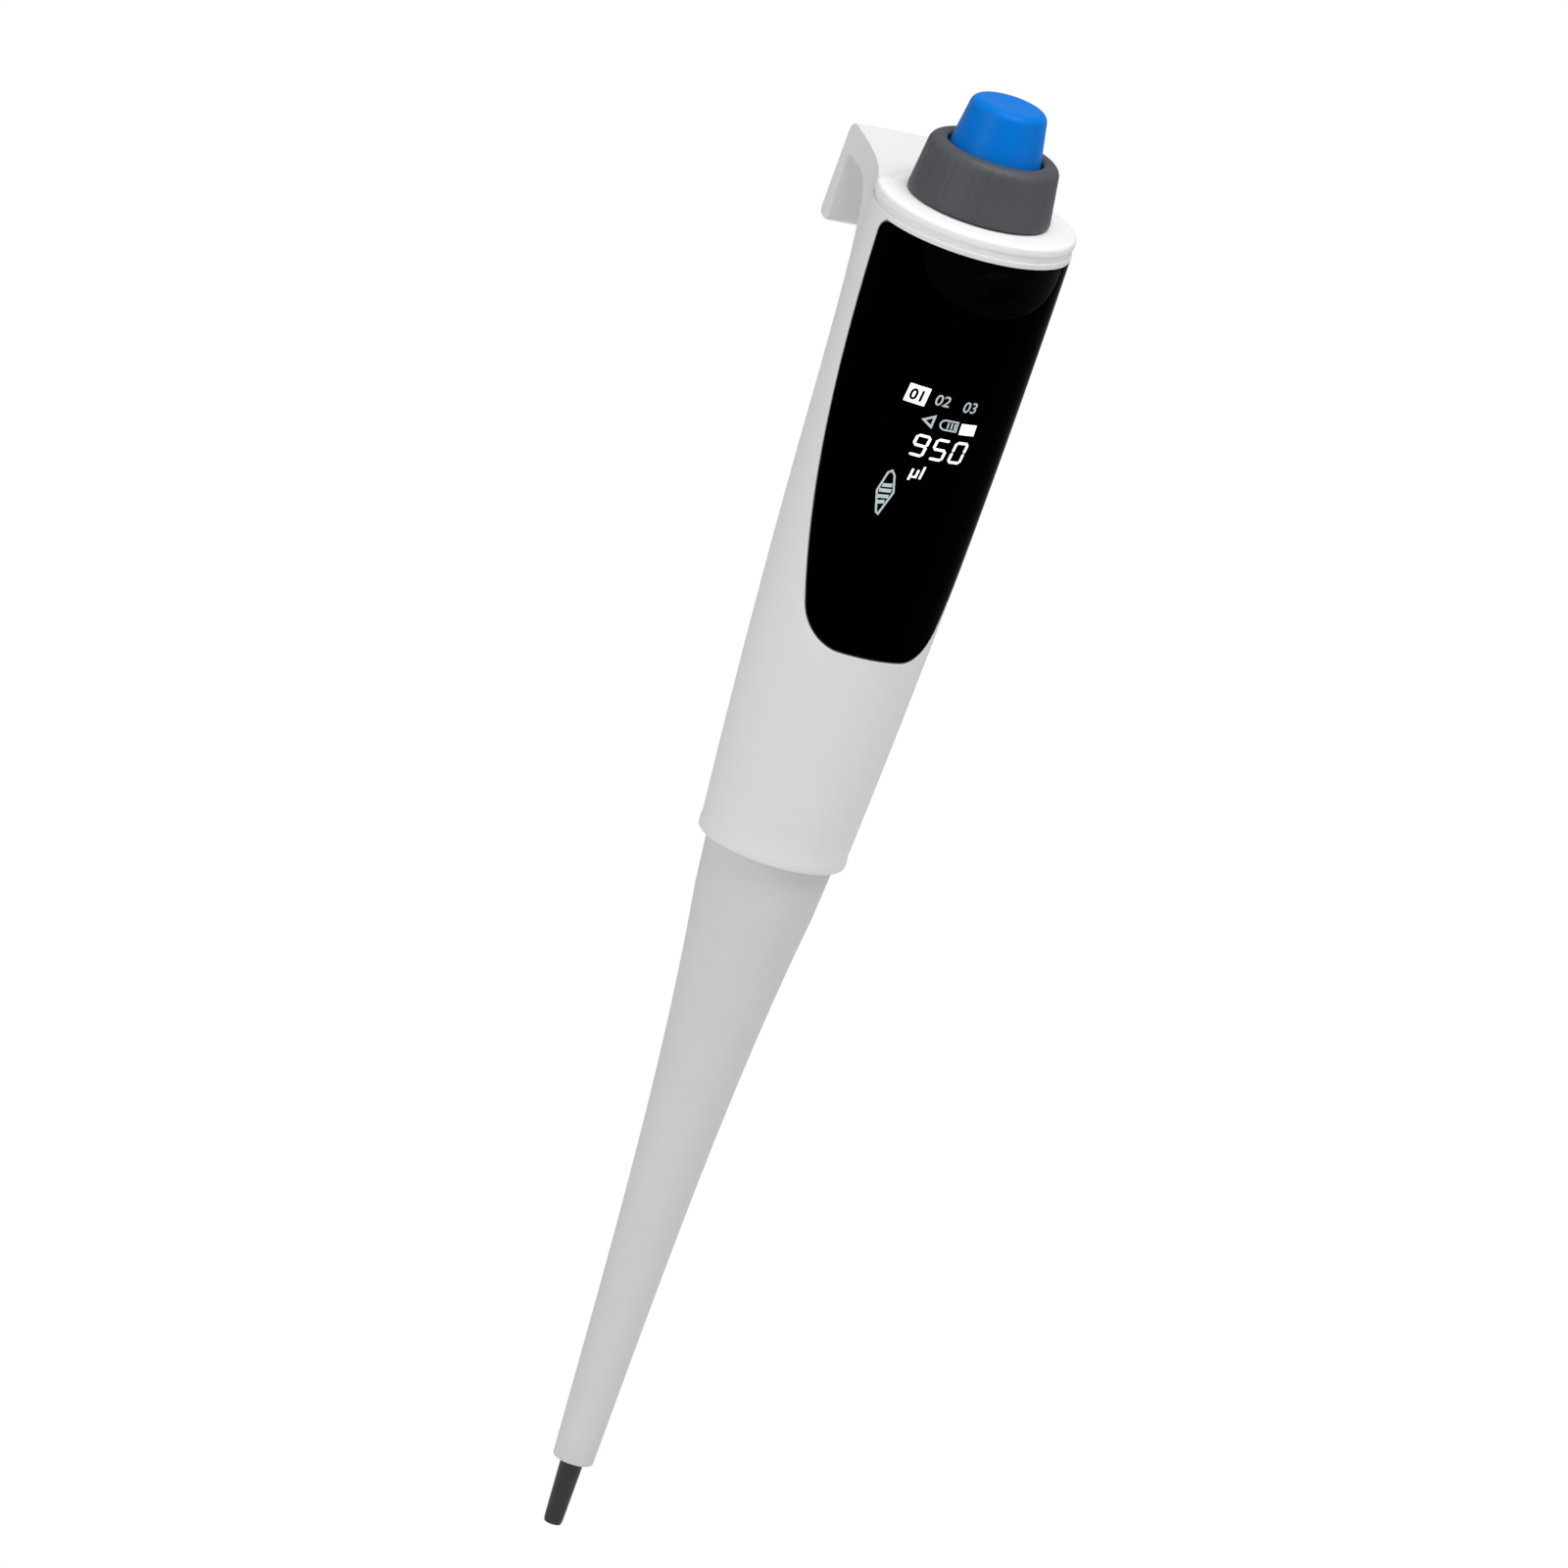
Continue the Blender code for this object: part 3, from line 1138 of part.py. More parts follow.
def build_tip_and_cylinder():
    """The tip cone with its long tube, and the cylinder with its seals."""
    neck_top = CYLINDER_LOW - GAP
    spigot_top = CYLINDER_LOW + TIP_SPIGOT - GAP
    spigot_r = CYLINDER_BORE_R - GAP
    bore = TIP_TUBE_BORE_R
    turned(
        "tip_cone",
        [(spigot_r, spigot_top), (spigot_r, neck_top), (CYLINDER_R, neck_top),
         (CYLINDER_R - TIP_NECK_STEP, neck_top - TIP_NECK), (TIP_TUBE_R, TIP_TUBE_LENGTH),
         (TIP_TUBE_R, SLEEVE_LOW + TIP_SHOULDER), (TIP_ROOT_R, SLEEVE_LOW - WELD),
         (TIP_END_R + TIP_LEAD_STEP, TIP_LEAD), (TIP_END_R, 0), (TIP_BORE_R, 0), (bore, TIP_MOUTH),
         (bore, TIP_TUBE_LENGTH), (bore, spigot_top)],
        "dark_abs", steps=20,
    )
    pocket_r = SEAL_R + GAP
    pocket_low = SEAL_LOW - GAP
    turned(
        "cylinder",
        [(CYLINDER_HEAD_R, CYLINDER_TOP), (CYLINDER_HEAD_R, CYLINDER_LIP_TOP),
         (FRAME_R, CYLINDER_LIP_TOP), (FRAME_R, CYLINDER_LIP_LOW),
         (CYLINDER_R, CYLINDER_LIP_LOW - CYLINDER_LIP), (CYLINDER_R, CYLINDER_LOW),
         (CYLINDER_BORE_R, CYLINDER_LOW), (CYLINDER_BORE_R, pocket_low), (pocket_r, pocket_low),
         (pocket_r, CYLINDER_TOP)],
        "steel", steps=24,
    )
    turned(
        "piston_seal",
        [(SEAL_R, SEAL_TOP), (SEAL_R, SEAL_LOW), (CYLINDER_BORE_R, SEAL_LOW),
         (CYLINDER_BORE_R, SEAL_TOP)],
        "seal_white", steps=24,
    )
    ring_mid = CYLINDER_BORE_R + O_RING_R
    ring_z = SEAL_TOP + GAP + O_RING_R
    turned("o_ring", arc(ring_mid, ring_z, O_RING_R, 90, -210, 5), "rubber", steps=20)
    retainer_low = CYLINDER_TOP + GAP
    turned(
        "seal_retainer",
        [(CYLINDER_HEAD_R, retainer_low + RETAINER_HEIGHT), (CYLINDER_HEAD_R, retainer_low),
         (CYLINDER_BORE_R, retainer_low), (CYLINDER_BORE_R, retainer_low + RETAINER_HEIGHT)],
        "brass", steps=24,
    )


def build_drive():
    """The frame in the handle's foot with the motor on it, and what the motor drives."""
    flange_r = cavity_radius(FRAME_FLANGE_LOW) - GAP
    frame = turned(
        "drive_frame",
        [(flange_r, FRAME_TOP), (flange_r, FRAME_FLANGE_LOW),
         (FRAME_R, FRAME_FLANGE_LOW), (FRAME_R, FRAME_LOW), (FRAME_BORE_R, FRAME_LOW),
         (FRAME_BORE_R, FRAME_TOP)],
        "grey_abs", steps=28,
    )
    ear_r = FRAME_R - 2 * GAP
    slot = box(
        "ear_slots",
        (-ear_r - GAP, -EAR_HALF_WIDTH - GAP, COUPLER_LOW - 2 * GAP),
        (ear_r + GAP, EAR_HALF_WIDTH + GAP, FRAME_TOP + FRAME_WALL),
    )
    flange_slot = box(
        "bar_slot",
        (-BAR_SLOT_HALF_WIDTH, BAR_SLOT_Y, FRAME_FLANGE_LOW - FRAME_WALL),
        (BAR_SLOT_HALF_WIDTH, HANDLE_TOP_R, MOTOR_TOP),
    )
    cut(frame, slot, flange_slot)

    hole = ROTOR_HUB_R + GAP
    inner = MOTOR_R - ROTOR_WALL
    plate_top = MOTOR_LOW + MOTOR_PLATE
    lid_low = MOTOR_TOP - MOTOR_PLATE
    motor = turned(
        "motor_can",
        [(MOTOR_R, MOTOR_TOP), (MOTOR_R, plate_top), (flange_r, plate_top), (flange_r, MOTOR_LOW),
         (hole, MOTOR_LOW), (hole, plate_top), (inner, plate_top), (inner, lid_low),
         (hole, lid_low), (hole, MOTOR_TOP)],
        "steel", steps=28,
    )
    cut(motor, flange_slot)
    drum = inner - RUNNING_GAP
    drum_low = plate_top + GAP
    drum_top = lid_low - GAP
    nut = SCREW_R + GAP
    hub_low = MOTOR_LOW + GAP
    hub_top = MOTOR_TOP - GAP
    turned(
        "motor_rotor",
        [(ROTOR_HUB_R, hub_top), (ROTOR_HUB_R, drum_top), (drum, drum_top), (drum, drum_low),
         (ROTOR_HUB_R, drum_low), (ROTOR_HUB_R, hub_low), (nut, hub_low), (nut, hub_top)],
        "magnet", steps=24,
    )
    screw_low = COUPLER_LOW + COUPLER_FLOOR
    turned(
        "lead_screw",
        [(0, SCREW_TOP), (SCREW_R - SCREW_EDGE, SCREW_TOP), (SCREW_R, SCREW_TOP - SCREW_EDGE),
         (SCREW_R, screw_low), (0, screw_low)],
        "steel", steps=16, closed=False,
    )
    coupler = turned(
        "piston_coupler",
        [(0, screw_low - GAP), (nut, screw_low - GAP), (nut, COUPLER_TOP), (COUPLER_R, COUPLER_TOP),
         (COUPLER_R, COUPLER_LOW), (0, COUPLER_LOW)],
        "brass", steps=24, closed=False,
    )
    for side in (-1, 1):
        ear_x = sorted((side * (COUPLER_R - 2 * WELD), side * ear_r))
        ear = box(
            f"coupler_ear_{side}",
            (ear_x[0], -EAR_HALF_WIDTH, COUPLER_LOW + WELD),
            (ear_x[1], EAR_HALF_WIDTH, COUPLER_TOP - WELD),
        )
        unite(coupler, ear)
    turned(
        "piston",
        [(0, PISTON_TOP), (PISTON_R, PISTON_TOP), (PISTON_R, PISTON_LOW + PISTON_EDGE),
         (PISTON_R - PISTON_EDGE, PISTON_LOW), (0, PISTON_LOW)],
        "steel", steps=24, closed=False,
    )
    build_motor_screws(frame, motor)


def build_motor_screws(frame, motor):
    """Two small screws that hold the motor on the drive frame."""
    place_r = MOTOR_R + MOTOR_SCREW_HEAD_R + 2 * GAP
    head = MOTOR_SCREW_HEAD
    low = FRAME_FLANGE_LOW - GAP
    high = MOTOR_LOW + MOTOR_PLATE - GAP
    y = -place_r * math.sin(MOTOR_SCREW_ANGLE)
    for index, side in enumerate((-1, 1), start=1):
        x = side * place_r * math.cos(MOTOR_SCREW_ANGLE)
        screw = rod(f"motor_screw_{index}", MOTOR_SCREW_HEAD_R, head, (x, y, low - head / 2), sides=12)
        make_part(screw, "steel")
        shank_middle = (x, y, (high + low - WELD) / 2)
        shank = rod(f"motor_shank_{index}", MOTOR_SCREW_R, high - low + WELD, shank_middle, sides=10)
        unite(screw, shank)
        hole_r = MOTOR_SCREW_R + GAP
        hole = rod(f"motor_screw_hole_{index}", hole_r, SCREW_HOLE_REACH, (x, y, FRAME_TOP), sides=12)
        cut(frame, hole)
        cut(motor, hole)


build_shells()
build_panel_and_trigger()
build_cover()
build_knob()
build_button()
build_ejector()
build_sleeve()
build_spring()
build_under_cover()
build_cradle()
build_electronics()
build_charging_socket()
build_case_screws()
build_tip_and_cylinder()
build_drive()
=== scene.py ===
"""The looks of the electronic pipette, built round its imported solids.

Lengths here are millimetres, and heights run up the axis from the tip cone's open end.
set_in_place moves a finished piece to the frame, whose origin is the land under the hook.
"""

import math

import bmesh
import bpy
from mathutils import Matrix, Vector


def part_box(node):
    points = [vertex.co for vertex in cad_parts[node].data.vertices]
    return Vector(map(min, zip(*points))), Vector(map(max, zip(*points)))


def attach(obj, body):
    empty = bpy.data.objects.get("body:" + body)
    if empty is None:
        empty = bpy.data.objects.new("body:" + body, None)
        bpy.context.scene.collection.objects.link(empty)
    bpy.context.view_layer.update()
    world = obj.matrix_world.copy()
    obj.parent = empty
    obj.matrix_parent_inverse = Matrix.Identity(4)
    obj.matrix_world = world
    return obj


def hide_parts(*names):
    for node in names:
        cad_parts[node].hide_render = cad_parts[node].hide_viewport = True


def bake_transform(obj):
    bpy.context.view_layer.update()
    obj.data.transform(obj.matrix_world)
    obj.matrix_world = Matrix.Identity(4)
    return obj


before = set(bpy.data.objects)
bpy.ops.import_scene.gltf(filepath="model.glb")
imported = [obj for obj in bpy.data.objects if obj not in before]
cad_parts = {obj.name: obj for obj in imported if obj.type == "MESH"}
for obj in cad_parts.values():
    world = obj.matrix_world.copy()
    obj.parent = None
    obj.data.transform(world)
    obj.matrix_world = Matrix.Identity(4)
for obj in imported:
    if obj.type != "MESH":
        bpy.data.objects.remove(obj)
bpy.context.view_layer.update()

# A millimetre, in the metres that the frame is in
MM = 0.001
# Steps round a turned piece
ROUND = 128
# The least angle between two faces that counts as an edge
SHARP = math.radians(30)
# Points closer than this are merged
WELD = 0.001
# Clearance between neighbouring pieces
GAP = 0.3
# How far cutters reach past the handle, sideways and at its ends
CUT_REACH = 40.0
CUT_OVER = 10.0

# Heights up the axis
SLEEVE_LOW = 12.3
SLEEVE_FLARE_LENGTH = 109.4
SLEEVE_COLLAR = 10.7
HANDLE_LOW = 132.4
HANDLE_TOP = 253.4
COVER_TOP = 256.5
KNOB_LOW = 256.8
KNOB_FLOOR = 258.8
KNOB_TOP = 267.6
BUTTON_TOP = 276.4
PANEL_TOP = 252.0
PANEL_LOW = 175.0
LAND_Z = 251.3
LAND_MIDDLE_Y = 30.6

# The handle
HANDLE_TOP_R = 18.6
HANDLE_WAIST_R = 13.6
HANDLE_LIP_LENGTH = 2.6
HANDLE_WAIST = HANDLE_LOW + HANDLE_LIP_LENGTH
HANDLE_BULGE = 0.74
HANDLE_LIP_R = 13.7
HANDLE_LIP_STEP = 0.8
HANDLE_FOOT_EDGE = 0.45
HANDLE_WALL = 1.35
HANDLE_ROWS = 36
CAVITY_OVER = 1.0
PANEL_WALL = 2.6
RIM_EDGE = 0.3
COVER_EDGE = 0.9
SEAM_Y = 7.5
SEAM_GAP = 0.03
# An edge this near the handle's skin lies on it
SKIN_DEPTH = 0.1

# The holes in the rear shell
CASE_SCREW_HEAD = 1.0
SHANK_HOLE_R = 1.2
HOLE_SIDES = 40
SCREW_HOLE_LENGTH = 12.0
SHANK_HOLE_OVERLAP = 1.0
SOCKET_HOLE_Y = 30.0

# The finger hook
HOOK_REACH = 40.2
HOOK_HALF_WIDTH = 9.6
HOOK_DROP = 18.8
HOOK_TONGUE = 4.6
HOOK_LAND_LENGTH = 6.0
HOOK_SWEEP = 40.0
HOOK_SWEEP_POWER = 2.8
HOOK_SWEEP_STEPS = 22
HOOK_ROOT = 4.0
HOOK_LEAN = 1.6
HOOK_CROWN_R = 3.0
HOOK_INNER_R = 2.0
HOOK_FOOT_R = 1.2
HOOK_EDGE_R = 0.9
HOOK_STATIONS = 28
HOOK_LEVELS = 8
HOOK_BLANK_HALF_WIDTH = 30.0
TONGUE_INNER_Y = HOOK_REACH - HOOK_TONGUE
LAND_END_Y = TONGUE_INNER_Y - HOOK_INNER_R

# The panel
PANEL_LOW_ANGLE = math.radians(45.0)
PANEL_HIGH_ANGLE = math.radians(82.5)
PANEL_EDGE_POWER = 2.45
PANEL_LOW_CORNER = 6.3
PANEL_LOW_CORNER_STEP = 9
PANEL_HIGH_CORNER = 2.6
PANEL_HIGH_CORNER_STEP = 15
PANEL_ROWS = 36
PANEL_COLUMNS = 64
PANEL_THICKNESS = 1.1
PANEL_EDGE = 0.2
PANEL_LEDGE = 2.0
RECESS_PROUD = 0.6
RECESS_LAST_ROW = 0.01
# The bead round the recess, and where its edges are looked for
BEAD = 0.45
BEAD_BELOW = 1.0
BEAD_ABOVE = 0.9
BEAD_TO_SEAM = 0.5

# The trigger
TRIGGER_HALF_WIDTH = 13.4
TRIGGER_DEPTH = 9.8
TRIGGER_THICKNESS = 2.2
TRIGGER_ROUNDNESS = 0.8
TRIGGER_STEPS = 48
TRIGGER_OVER = 3.0
TRIGGER_TRAVEL = 0.8
TRIGGER_DISH = 1.0
TRIGGER_DISH_REACH = 8.0
TRIGGER_DISH_WIDE = 0.86
TRIGGER_DISH_TALL = 0.62
TRIGGER_DISH_DROP = 0.42
TRIGGER_DISH_SEGMENTS = 96
TRIGGER_DISH_RINGS = 64
POST_Z = 243.8
POST_HALF_WIDTH = 1.5
POST_HALF_HEIGHT = 1.2
POST_SINK = 0.4

# The display's picture, drawn in arc length from the middle and height
READING = "950"
READING_LEFT = -6.0
READING_LOW = 214.3
LIT_BARS = {"9": "abcdfg", "5": "acdfg", "0": "abcdef"}
DIGIT_WIDTH = 2.35
DIGIT_HEIGHT = 3.8
DIGIT_PITCH = 3.75
DIGIT_STROKE = 0.5
DIGIT_SPLIT = 0.03
DIGIT_LEAN = 0.16
# Words with their left, low, size, lean and weight
UNIT = ("\u00b5l", -4.95, 210.1, 3.5, 0.14, 0.04)
FIRST_FIGURE = ("01", -9.3, 224.1, 2.9, 0.12, 0.1)
SECOND_FIGURE = ("02", -4.6, 224.3, 2.9, 0.12, 0.02)
THIRD_FIGURE = ("03", 0.9, 224.0, 2.9, 0.12, 0.02)
# Shapes by their corners
FIRST_TAB = [(-10.0, 223.4), (-6.1, 223.4), (-5.7, 226.9), (-9.6, 226.9)]
FIRST_TAB_HALF_THICK = 0.2
FIRST_FIGURE_HALF_THICK = 1.0
SPEAKER = [(-5.8, 221.1), (-3.5, 219.7), (-3.3, 222.5)]
SPEAKER_LINE = 0.42
LEVEL_LEFT = [(-7.7, 210.5), (-8.5, 209.8), (-9.4, 205.9), (-8.3, 201.9), (-7.6, 201.5)]
LEVEL_RIGHT = [(-6.1, 206.4), (-6.9, 209.6)]
LEVEL_LINE = 0.36
# The level's bars, each by its low, left and right
LEVEL_BARS = [(206.8, -8.6, -6.9), (205.75, -8.85, -6.75), (204.6, -8.75, -6.9), (203.5, -8.5, -7.3)]
LEVEL_BAR_RISE = 0.45
LEVEL_BAR_HEIGHT = 0.7
# The battery: its round end's centre and radius, its square end, and what fills it
BATTERY_ROUND = (-1.3, 221.0, 1.05)
BATTERY_SQUARE = [(1.2, 219.95), (1.2, 222.05)]
BATTERY_LINE = 0.3
BATTERY_BAR_LEFTS = (-0.85, -0.15, 0.5)
BATTERY_BAR_WIDTH = 0.3
BATTERY_BAR_LOW = 220.4
BATTERY_BAR_HIGH = 221.6
BATTERY_BLOCK = (1.8, 219.7, 5.0, 221.8)
# The picture is cut into columns, given a depth and laid just proud of the panel
MARK_COLUMNS = 20
MARK_STEP = 0.6
MARK_DEPTH = 0.12
MARK_PROUD = 0.02

# The cover
COVER_LIP = 1.9
COVER_STEP = 0.35
COVER_PLATE = 2.8
COVER_SKIRT_R = 13.8
COVER_SKIRT_WALL = 1.4
COVER_SKIRT_DROP = 2.6
COVER_RING_OVER = 3.0
LIP_ROUND = 0.25

# The knob, the button and the spring
KNOB_LOW_R = 13.25
KNOB_HIGH_R = 12.2
KNOB_SHOULDER = 1.9
KNOB_FOOT_EDGE = 0.5
KNOB_MOUTH_EDGE = 0.4
KNOB_SIDE_SHARES = (0.15, 0.5, 0.85)
KNOB_FLUTES = 32
KNOB_FLUTE_DEPTH = 0.10
KNOB_FLUTE_COLUMNS = 12
KNOB_FLUTE_SHARPNESS = 4
KNOB_FLUTE_INWARDS = 0.6
KNOB_FLUTE_UPWARDS = 0.8
KNOB_HUB_R = 9.2
KNOB_HUB_WALL = 2.0
BUTTON_LOW_R = 8.6
BUTTON_HIGH_R = 7.2
BUTTON_EDGE = 1.8
BUTTON_WALL = 1.3
BUTTON_DISH = 0.25
BUTTON_DISH_SHARE = 0.85
BUTTON_PLATE = 2.4
BUTTON_TRAVEL = 7.0
RUNNING_GAP = 0.35
SPRING_WIRE_R = 0.4
SPRING_WIRE_SIDES = 12
SPRING_TURNS = 5
SPRING_TURN_STEPS = 32

# The sleeve
SLEEVE_LOW_R = 3.72
SLEEVE_TAPER = 4.0
SLEEVE_FLARE_R = 10.92
SLEEVE_TOP_R = 11.85
SLEEVE_FLARE_POWER = 3.4
SLEEVE_WALL = 1.1
SLEEVE_INSIDE = 18.5
SLEEVE_EDGE = 0.45
SLEEVE_RIM = 2.0
SLEEVE_ROWS = 48
SLEEVE_INNER_EVERY = 6

# The nozzle
NOZZLE_STEPS = 72
NOZZLE_END_R = 1.6
NOZZLE_ROOT_R = 2.1
NOZZLE_ROOT_DROP = 0.2
NOZZLE_LIP_SPREAD = 0.12
NOZZLE_LIP_HEIGHT = 0.9
NOZZLE_EDGE = 0.25
NOZZLE_BORE_R = 0.55
NOZZLE_BORE_LENGTH = 2.0
TUBE_R = 2.3
TUBE_BORE_R = 0.9
TUBE_LENGTH = 76.0
TUBE_FOOT = 1.0
NECK_R = 5.9
NECK_CHAMFER = 0.6
NECK_CHAMFER_LENGTH = 2.0
SPIGOT_R = 4.5


def deselect():
    if bpy.context.object and bpy.context.object.mode != "OBJECT":
        bpy.ops.object.mode_set(mode="OBJECT")
    bpy.ops.object.select_all(action="DESELECT")


def edit_all():
    bpy.ops.object.mode_set(mode="EDIT")
    bpy.ops.mesh.select_all(action="SELECT")


def object_mode():
    bpy.ops.object.mode_set(mode="OBJECT")


def face_outwards():
    """Turns every face of the piece in edit mode outwards, and leaves edit mode."""
    bpy.ops.mesh.select_all(action="SELECT")
    bpy.ops.mesh.normals_make_consistent(inside=False)
    object_mode()


def pick(piece):
    deselect()
    bpy.context.view_layer.objects.active = piece
    piece.select_set(True)


def line_through(name, spots):
    """A line drawn by extruding one point from spot to spot, left in edit mode."""
    deselect()
    bpy.ops.mesh.primitive_plane_add(size=MM)
    piece = bpy.context.object
    piece.name = name
    edit_all()
    bpy.ops.mesh.merge(type="CENTER")
    bpy.ops.transform.translate(value=spots[0])
    for start, end in zip(spots, spots[1:]):
        bpy.ops.mesh.extrude_vertices_move(TRANSFORM_OT_translate={"value": end - start})
    bpy.ops.mesh.select_all(action="SELECT")
    return piece


def turned(name, profile, steps=ROUND, closed=False):
    """A profile of (radius, height) points, spun round the axis."""
    spots = [Vector((radius * MM, 0, height * MM)) for radius, height in profile]
    if closed:
        spots.append(spots[0])
    piece = line_through(name, spots)
    bpy.ops.mesh.remove_doubles(threshold=WELD * MM)
    bpy.ops.mesh.select_all(action="SELECT")
    bpy.ops.mesh.spin(steps=steps, angle=math.tau, center=(0, 0, 0), axis=(0, 0, 1))
    bpy.ops.mesh.select_all(action="SELECT")
    bpy.ops.mesh.remove_doubles(threshold=WELD * MM)
    face_outwards()
    return piece


def drawn(name, points, plane="XY"):
    """A flat outline in one of the axes' planes, filled."""
    planes = {"XY": lambda a, b: (a, b, 0), "XZ": lambda a, b: (a, 0, b), "YZ": lambda a, b: (0, a, b)}
    piece = line_through(name, [Vector(planes[plane](*point)) * MM for point in points])
    bpy.ops.mesh.edge_face_add()
    object_mode()
    return piece


def thicken(piece, start, end):
    """Makes a flat face a solid that reaches from one place to another across it."""
    pick(piece)
    edit_all()
    start, end = Vector(start) * MM, Vector(end) * MM
    bpy.ops.transform.translate(value=start)
    bpy.ops.mesh.extrude_region_move(TRANSFORM_OT_translate={"value": end - start})
    face_outwards()
    return piece


def block(name, low, high):
    """A box between two corners, for cutting and for the trigger's post."""
    deselect()
    low, high = Vector(low) * MM, Vector(high) * MM
    bpy.ops.mesh.primitive_cube_add(size=1, location=(low + high) / 2)
    piece = bpy.context.object
    piece.name = name
    piece.scale = high - low
    bpy.ops.object.transform_apply(location=True, rotation=True, scale=True)
    return piece


def round_bar(name, radius, low_y, high_y, x, z):
    """A round bar along Y, for drilling."""
    deselect()
    bpy.ops.mesh.primitive_cylinder_add(
        vertices=HOLE_SIDES, radius=radius * MM, depth=(high_y - low_y) * MM,
        location=Vector((x, (low_y + high_y) / 2, z)) * MM, rotation=(math.pi / 2, 0, 0),
    )
    bar = bpy.context.object
    bar.name = name
    bpy.ops.object.transform_apply(location=True, rotation=True, scale=True)
    return bar


def apply_modifier(piece, kind, **settings):
    pick(piece)
    modifier = piece.modifiers.new(kind.lower(), kind)
    for key, value in settings.items():
        setattr(modifier, key, value)
    bpy.ops.object.modifier_apply(modifier=modifier.name)


def carve(piece, operation, *tools):
    """Booleans with each tool in turn, after which the tools are gone."""
    for tool in tools:
        apply_modifier(piece, "BOOLEAN", operation=operation, object=tool, solver="EXACT")
        bpy.data.objects.remove(tool, do_unlink=True)


def round_edges(piece, width, chosen, segments=3):
    """Rounds the sharp edges whose middle chosen() takes, in this file's millimetres."""
    pick(piece)
    bpy.ops.object.mode_set(mode="EDIT")
    bpy.ops.mesh.select_mode(type="EDGE")
    bpy.ops.mesh.select_all(action="DESELECT")
    mesh = bmesh.from_edit_mesh(piece.data)
    for edge in mesh.edges:
        middle = (edge.verts[0].co + edge.verts[1].co) / (2 * MM)
        sharp = len(edge.link_faces) == 2 and edge.calc_face_angle(0) > SHARP
        edge.select_set(sharp and chosen(middle))
    mesh.select_flush_mode()
    bmesh.update_edit_mesh(piece.data)
    bpy.ops.mesh.bevel(offset=width * MM, segments=segments, affect="EDGES", clamp_overlap=True)
    bpy.ops.mesh.select_mode(type="VERT")
    object_mode()


def set_in_place(piece, body, finish, stands_for=(), smooth=35):
    """Moves a finished piece to the frame's origin, shades it and ties it to its body.

    Where body is a pair, the piece keeps its place and is tied to neither."""
    pick(piece)
    piece.location = (0, -LAND_MIDDLE_Y * MM, -LAND_Z * MM)
    bpy.ops.object.transform_apply(location=True, rotation=True, scale=True)
    bpy.ops.object.shade_smooth_by_angle(angle=math.radians(smooth))
    piece.data.materials.clear()
    piece.data.materials.append(finish)
    if isinstance(body, tuple):
        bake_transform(piece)
    else:
        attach(piece, body)
    if stands_for:
        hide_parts(*stands_for)


def arc(centre_r, centre_z, radius, start, end, count):
    """Points on a circle from one angle to another, in degrees."""
    points = []
    for index in range(count + 1):
        angle = math.radians(start + (end - start) * index / count)
        points.append((centre_r + radius * math.cos(angle), centre_z + radius * math.sin(angle)))
    return points


def heights(low, high, count):
    """Values from low to high in count even steps."""
    return [low + (high - low) * index / count for index in range(count + 1)]


def handle_radius(height):
    """Outer radius of the handle, which swells from its waist to the top."""
    share = min(max((height - HANDLE_WAIST) / (HANDLE_TOP - HANDLE_WAIST), 0.0), 1.0)
    swell = share * (1 + HANDLE_BULGE) - HANDLE_BULGE * share * share
    return HANDLE_WAIST_R + (HANDLE_TOP_R - HANDLE_WAIST_R) * swell


def sleeve_radius(height):
    """Outer radius of the ejector sleeve: a slim taper, a trumpet, then a straight collar."""
    share = max((height - SLEEVE_LOW) / SLEEVE_FLARE_LENGTH, 0.0)
    if share <= 1.0:
        trumpet = SLEEVE_FLARE_R - SLEEVE_LOW_R - SLEEVE_TAPER
        return SLEEVE_LOW_R + SLEEVE_TAPER * share + trumpet * share ** SLEEVE_FLARE_POWER
    share = min((height - SLEEVE_LOW - SLEEVE_FLARE_LENGTH) / SLEEVE_COLLAR, 1.0)
    return SLEEVE_FLARE_R + (SLEEVE_TOP_R - SLEEVE_FLARE_R) * share


def corner_inset(radius, offset):
    """How far a round corner draws its edge in, at an offset from the corner's centre."""
    return radius - math.sqrt(max(radius ** 2 - offset ** 2, 0.0))


def panel_half_angle(height, margin):
    """How far the panel wraps round the handle at a height, with its edge moved by margin."""
    share = min(max((height - PANEL_LOW) / (PANEL_TOP - PANEL_LOW), 0.0), 1.0)
    reach = PANEL_HIGH_ANGLE - PANEL_LOW_ANGLE
    side = PANEL_LOW_ANGLE + reach * (1 - (1 - share) ** PANEL_EDGE_POWER)
    length = side * handle_radius(height) + margin
    below_centre = PANEL_LOW + PANEL_LOW_CORNER - height
    if below_centre > 0:
        length -= corner_inset(PANEL_LOW_CORNER + margin, below_centre)
    above_centre = height - (PANEL_TOP - PANEL_HIGH_CORNER)
    if above_centre > 0:
        corner = PANEL_HIGH_CORNER + max(margin, 0.0)
        length -= corner_inset(corner, min(above_centre, PANEL_HIGH_CORNER))
    return length / handle_radius(height)


